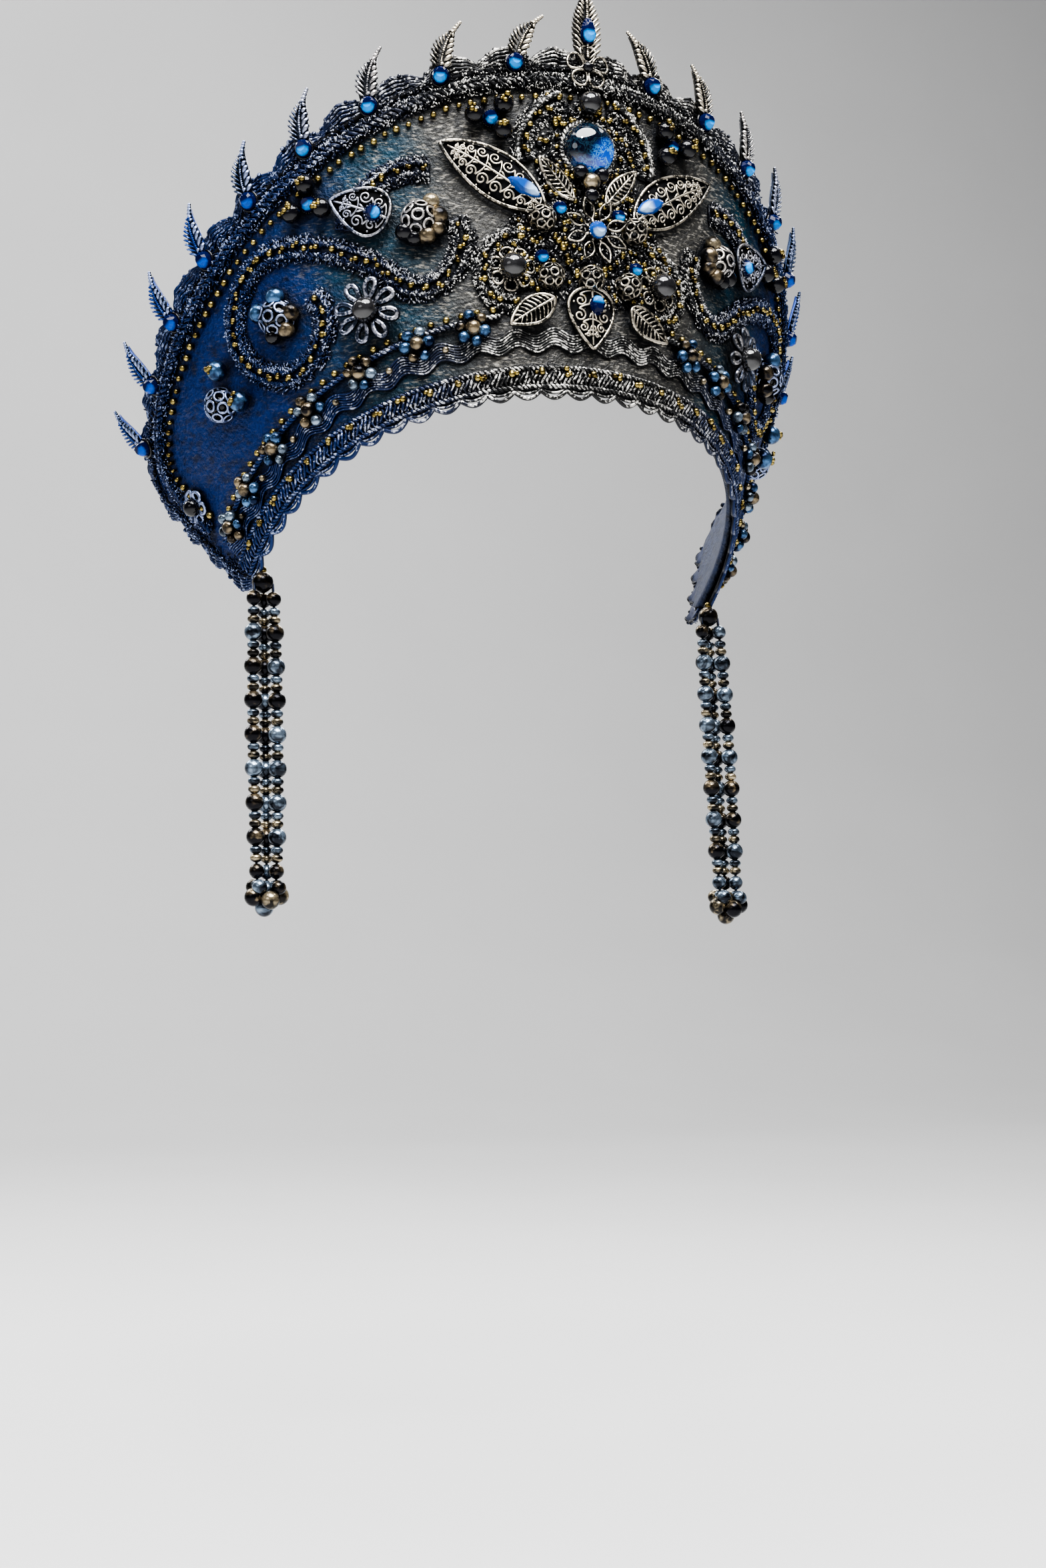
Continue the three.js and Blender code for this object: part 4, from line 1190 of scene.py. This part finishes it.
def cabochon():
    place = at("cabochon")
    work = Work()
    turn = np.linspace(0, np.pi / 2, 16)
    dome = np.column_stack([8.7 * np.cos(turn) ** 0.8, 1.4 + 6.6 * np.sin(turn)])
    work.add(lathe(np.vstack([[[0, 0.2], [8.7, 0.2]], dome]), 56), "glass", place)
    ring = np.linspace(0, 2 * np.pi, 160, endpoint=False)
    for strand in range(2):
        wind = 21 * ring + strand * np.pi
        reach = 9.3 + 0.5 * np.cos(wind)
        path = xyz(reach * np.cos(ring), reach * np.sin(ring), 1.3 + 0.5 * np.sin(wind))
        work.add(tube(path, 0.62, 6, closed=True), "lace", place)
    foot = xyz(9.7 * np.cos(ring), 9.7 * np.sin(ring), 0.5)
    work.add(tube(foot[::3], 0.5, 6, closed=True), "lace", place)
    make(work, "dressed_cabochon", ["cabochon"])
    place = at("crown_pearl")
    work = Work()
    work.bead((0, 0, 3.75), 3.75, "pearl", place, 24)
    beaded_ring(work, place, radius=3.3, bead=0.6, finish="braid", level=0.8)
    make(work, "dressed_crown_pearl", ["crown_pearl"])


# Small ornaments between the larger ones
def small_ornaments():
    work = Work()
    for angle, height in ((-8, 0.335), (0, 0.335), (8, 0.335), (-9, 0.515), (9, 0.515)):
        place = on_wall(angle, height)
        work.bead((0, 0, 2.3), 3.1, "black", place, 14)
        ring_cap(work, place, radius=3.9, height=4.6, ring=1.3, wire=0.42, finish="silver", level=1.6)
    for angle, height in ((-5.7, 0.548), (5.7, 0.548), (-9.5, 0.395), (9.5, 0.395)):
        place = on_wall(angle, height)
        work.gem(cut_stone(width=4.8, height=3.0), (0, 0, 1.2), place)
        beaded_ring(work, place, radius=2.5, bead=0.45, finish="lace", level=1.4)
    place = at("centre_beads")
    work.bead((0, 0, 2.9), 2.9, "champagne", place)
    for x, y in ((-3.6, 3.0), (3.6, 3.0), (0, -4.6)):
        work.bead((x, y, 2.6), 2.6, "black", place, 16)
    make(work, "small_ornaments")
    sides = Work()
    for angle, height in ((-74, 0.64), (-72, 0.455)):
        capped_bead(sides, on_wall(angle, height), (0, 0), 3.5, "steel")
    tuft = at("side_tuft")
    sides.bead((0, 0, 1.4), 4.3, "black", tuft, 14, squash=0.8)
    ring_cap(sides, tuft, radius=5.4, height=4.8, ring=1.75, wire=0.5, finish="rubbed", level=0.6)
    ear = at("ear_flower")
    sides.bead((0, 0, 2.6), 3.2, "black", ear, 16)
    petals(sides, ear, radius=6.4, count=6, wire=0.7, finish="rubbed", inner=0.4, level=1.2)
    make_pair(sides, "side_ornaments", replaced=False)


def centre_ground():
    """Knotted dark thread with loose seed beads that fills the ground between the centre ornaments."""
    place = at("centre_ground")
    work = Work()
    count = 4200
    x = rng.uniform(-32, 32, count)
    y = rng.uniform(-28, 44, count)
    lower = (x / 31) ** 2 + ((y + 8) / 20) ** 2 < 1
    upper = (x / 17) ** 2 + ((y - 18) / 25) ** 2 < 1
    inside = lower | upper
    spots = xyz(x, y, rng.uniform(0.2, 1.2, count))[inside]
    kept = len(spots)
    lean = rng.normal(size=(kept, 3))
    length = rng.uniform(0.8, 1.5, kept)
    pale = rng.uniform(0, 1, kept) < 0.45
    for chosen, finish in ((pale, "bristle"), (~pale, "lace")):
        work.add(grains(spots[chosen], lean[chosen], length[chosen], 0.38), finish, place)
    seeds = spots[rng.uniform(0, 1, kept) < 0.10] * [1, 1, 0] + OUT
    work.add(balls(seeds, rng.uniform(0.8, 1.25, len(seeds)), 8, 5), "gold", place)
    drops = spots[rng.uniform(0, 1, kept) < 0.06] * [1, 1, 0] + OUT
    work.add(balls(drops, rng.uniform(0.8, 1.3, len(drops)), 8, 5), "black", place)
    make(work, "centre_ground")


# Temple drops: three bead strings from a hanging bead to a cluster
DROP_LENGTH = 118
DROP_HEAD = 3.8
DROP_FOOT = 9.9
DROP_BEADS = 9
STRANDS = [(-4.2, -1.4), (1.6, 4.0), (4.2, -1.4)]
CLUSTER = [
    (0, 0, -0.5), (-4.6, -1.5, -3), (4.6, -1, -2.4), (0.4, -4.4, -4), (0, 4.4, -3.4), (-0.4, 0, -6.4),
    (-3.4, 3.2, 0.6), (3.6, 3.0, 0.2), (-3.2, -3.6, 0.4), (3.4, -3.6, 0.2),
]


def temple_drop(angle, lean):
    """One drop below a loop of the rim braid; lean is how far its foot hangs aside."""
    work = Work()
    loop = (np.floor((angle / RIM_ANGLE + 1) / 2 * RIM_SCALLOPS) + 0.5) / RIM_SCALLOPS
    end = RIM_ROUTE(np.array([[RIM_ROUTE.run(loop), -6.4, GAP]]))[0]
    head = end + [0, 0, -GAP - DROP_HEAD]
    run = DROP_LENGTH - DROP_HEAD - DROP_FOOT
    period = run / DROP_BEADS

    def on_strand(strand, down):
        share = down / run
        part = 0.75 + 0.25 * max(0, np.sin(np.pi * share)) ** 0.7
        return head + [lean * share + strand[0] * part, strand[1] * part, -down]

    work.bead(head, 3.7, "bead")
    work.bead(head + [0, 0, 4.2], 1.4, "gold", sides=10)
    for strand in STRANDS:
        for step in range(DROP_BEADS):
            middle = period * (step + 0.5)
            is_end = step in (0, DROP_BEADS - 1)
            kind = "bead" if rng.uniform() < 0.55 else "pewter"
            work.bead(on_strand(strand, middle), 2.6 if is_end else 3.15, kind)
            for shift in (-1.4, 1.4):
                spot = on_strand(strand, np.clip(period * (step + 1) + shift, 0, run))
                kind = "pewter" if shift < 0 else "champagne"
                work.bead(spot, 2.15, kind, sides=14, squash=0.72)
        cord = [on_strand(strand, down) for down in np.linspace(0.5, run, 30)]
        thread = np.array(cord) + xyz(np.linspace(0, 0.02, 30), 0, 0)
        work.add(upright_tube(thread, 0.5), "lace")
    foot = head + [lean, 0, -run]
    for aside, back, down in CLUSTER:
        kind = ("bead", "pewter", "champagne")[rng.integers(0, 3)]
        work.bead(foot + [aside, back, down], 3.2 if down < 0 else 2.6, kind)
    return work


def upright_tube(path, radius):
    """A thread that hangs: laid out along x for its frame, then stood up."""
    points, quads, tris, relief = tube(path[:, [2, 1, 0]], radius, 6)
    return points[:, [2, 1, 0]], quads[:, ::-1], tris[:, ::-1], relief


def drops():
    for side, angle, lean in (("left", -87, 3), ("right", 87, 8)):
        name = f"temple_drop_{side}"
        make(temple_drop(angle, lean), f"dressed_{name}", [name])


for dress in (
    crown_wall, edge_lace, edge_cord, rim_braid, wave_lace, bead_band, scrolls, spikes,
    flowers, leaves, bead_groups, cabochon, small_ornaments, centre_ground, drops,
):
    dress()


# Pale floor and soft studio light, in metres: each light's place, aim, size and watts
FLOOR = -0.36
PART = (0, -0.03, 0.05)
LIGHTS = {
    "key": ((-0.12, -0.55, 0.95), PART, 1.1, 42),
    "sparkle": ((-0.30, -0.80, 0.75), PART, 0.14, 5),
    "fill": ((-0.95, -0.60, 0.30), PART, 0.6, 1.4),
    "rim_left": ((-0.55, 0.8, 0.75), PART, 0.7, 8),
    "rim_right": ((0.55, 0.8, 0.75), PART, 0.7, 8),
    "backdrop": ((0.0, 1.2, 2.2), (0, 3.0, 0.3), 2.0, 75),
    "floor_left": ((-1.6, 0.2, 2.3), (-3.6, 0.3, FLOOR), 2.0, 45),
    "floor_right": ((1.6, 0.2, 2.3), (3.6, 0.3, FLOOR), 2.0, 45),
}


def studio():
    """A pale floor that sweeps up behind the object, with one soft light above and weaker ones around."""
    turn = np.linspace(0, np.pi / 2, 9)
    depth = np.concatenate([[-6], 2 + 1.5 * np.sin(turn), [3.5]])
    level = np.concatenate([[0], 1.5 - 1.5 * np.cos(turn), [7]]) + FLOOR
    left = xyz(-9.0, depth, level)
    points = np.vstack([left, left * [-1, 1, 1]])
    count = len(depth)
    faces = [(i, i + count, i + count + 1, i + 1) for i in range(count - 1)]
    mesh = bpy.data.meshes.new("floor")
    mesh.from_pydata(points.tolist(), [], faces)
    mesh.shade_smooth()
    floor = bpy.data.objects.new("floor", mesh)
    bpy.context.scene.collection.objects.link(floor)
    paint = Paint("pale_floor", Roughness=0.75)
    paint.colour(paint.mix(paint.noise(3.0), (0.62, 0.62, 0.62), (0.68, 0.68, 0.68)))
    mesh.materials.append(paint.material)
    world = bpy.data.worlds.new("studio")
    world.use_nodes = True
    ground = world.node_tree.nodes["Background"]
    ground.inputs["Color"].default_value = (0.78, 0.79, 0.82, 1)
    ground.inputs["Strength"].default_value = 0.10
    bpy.context.scene.world = world
    bpy.context.scene.view_settings.look = "AgX - Medium High Contrast"
    for name, (spot, aim, size, power) in LIGHTS.items():
        light = bpy.data.lights.new(name, "AREA")
        light.shape = "ELLIPSE"
        light.size = size
        light.size_y = size * 0.7
        light.energy = power
        lamp = bpy.data.objects.new(name, light)
        lamp.location = spot
        lamp.rotation_euler = Matrix(look(np.subtract(aim, spot))).to_euler()
        bpy.context.scene.collection.objects.link(lamp)


def look(forward):
    """Rotation rows that turn -Z along forward and keep the view upright."""
    forward = unit(np.asarray(forward, float))
    right = unit(np.cross(forward, OUT))
    return np.stack([right, np.cross(right, forward), -forward], -1).tolist()


# The photograph's camera: angles in radians, place in millimetres, lens on a full-frame sensor
CAMERA_TURN = 0.4048
CAMERA_PITCH = -0.0768
CAMERA_ROLL = 0.0089
CAMERA_ASIDE = 12.3
CAMERA_AWAY = 784.9
CAMERA_LEVEL = -131.0
CAMERA_LENS = 50.75
CAMERA_SENSOR = 36


def photo_camera():
    turn = CAMERA_TURN
    pitch = CAMERA_PITCH
    roll = CAMERA_ROLL
    along = np.array([np.sin(turn), np.cos(turn), 0])
    right = np.array([np.cos(turn), -np.sin(turn), 0])
    forward = along * np.cos(pitch) - OUT * np.sin(pitch)
    upward = along * np.sin(pitch) + OUT * np.cos(pitch)
    spot = right * CAMERA_ASIDE - along * CAMERA_AWAY + OUT * CAMERA_LEVEL
    lean = np.array([[np.cos(roll), 0, -np.sin(roll)], [0, 1, 0], [np.sin(roll), 0, np.cos(roll)]])
    basis = lean @ np.stack([right, upward, -forward], -1)
    data = bpy.data.cameras.new("photo_camera")
    data.lens = CAMERA_LENS
    data.sensor_width = CAMERA_SENSOR
    camera = bpy.data.objects.new("photo_camera", data)
    place = Matrix.Translation((lean @ spot * MM).tolist())
    camera.matrix_world = place @ Matrix(basis.tolist()).to_4x4()
    bpy.context.scene.collection.objects.link(camera)
    bpy.context.scene.camera = camera


studio()
photo_camera()
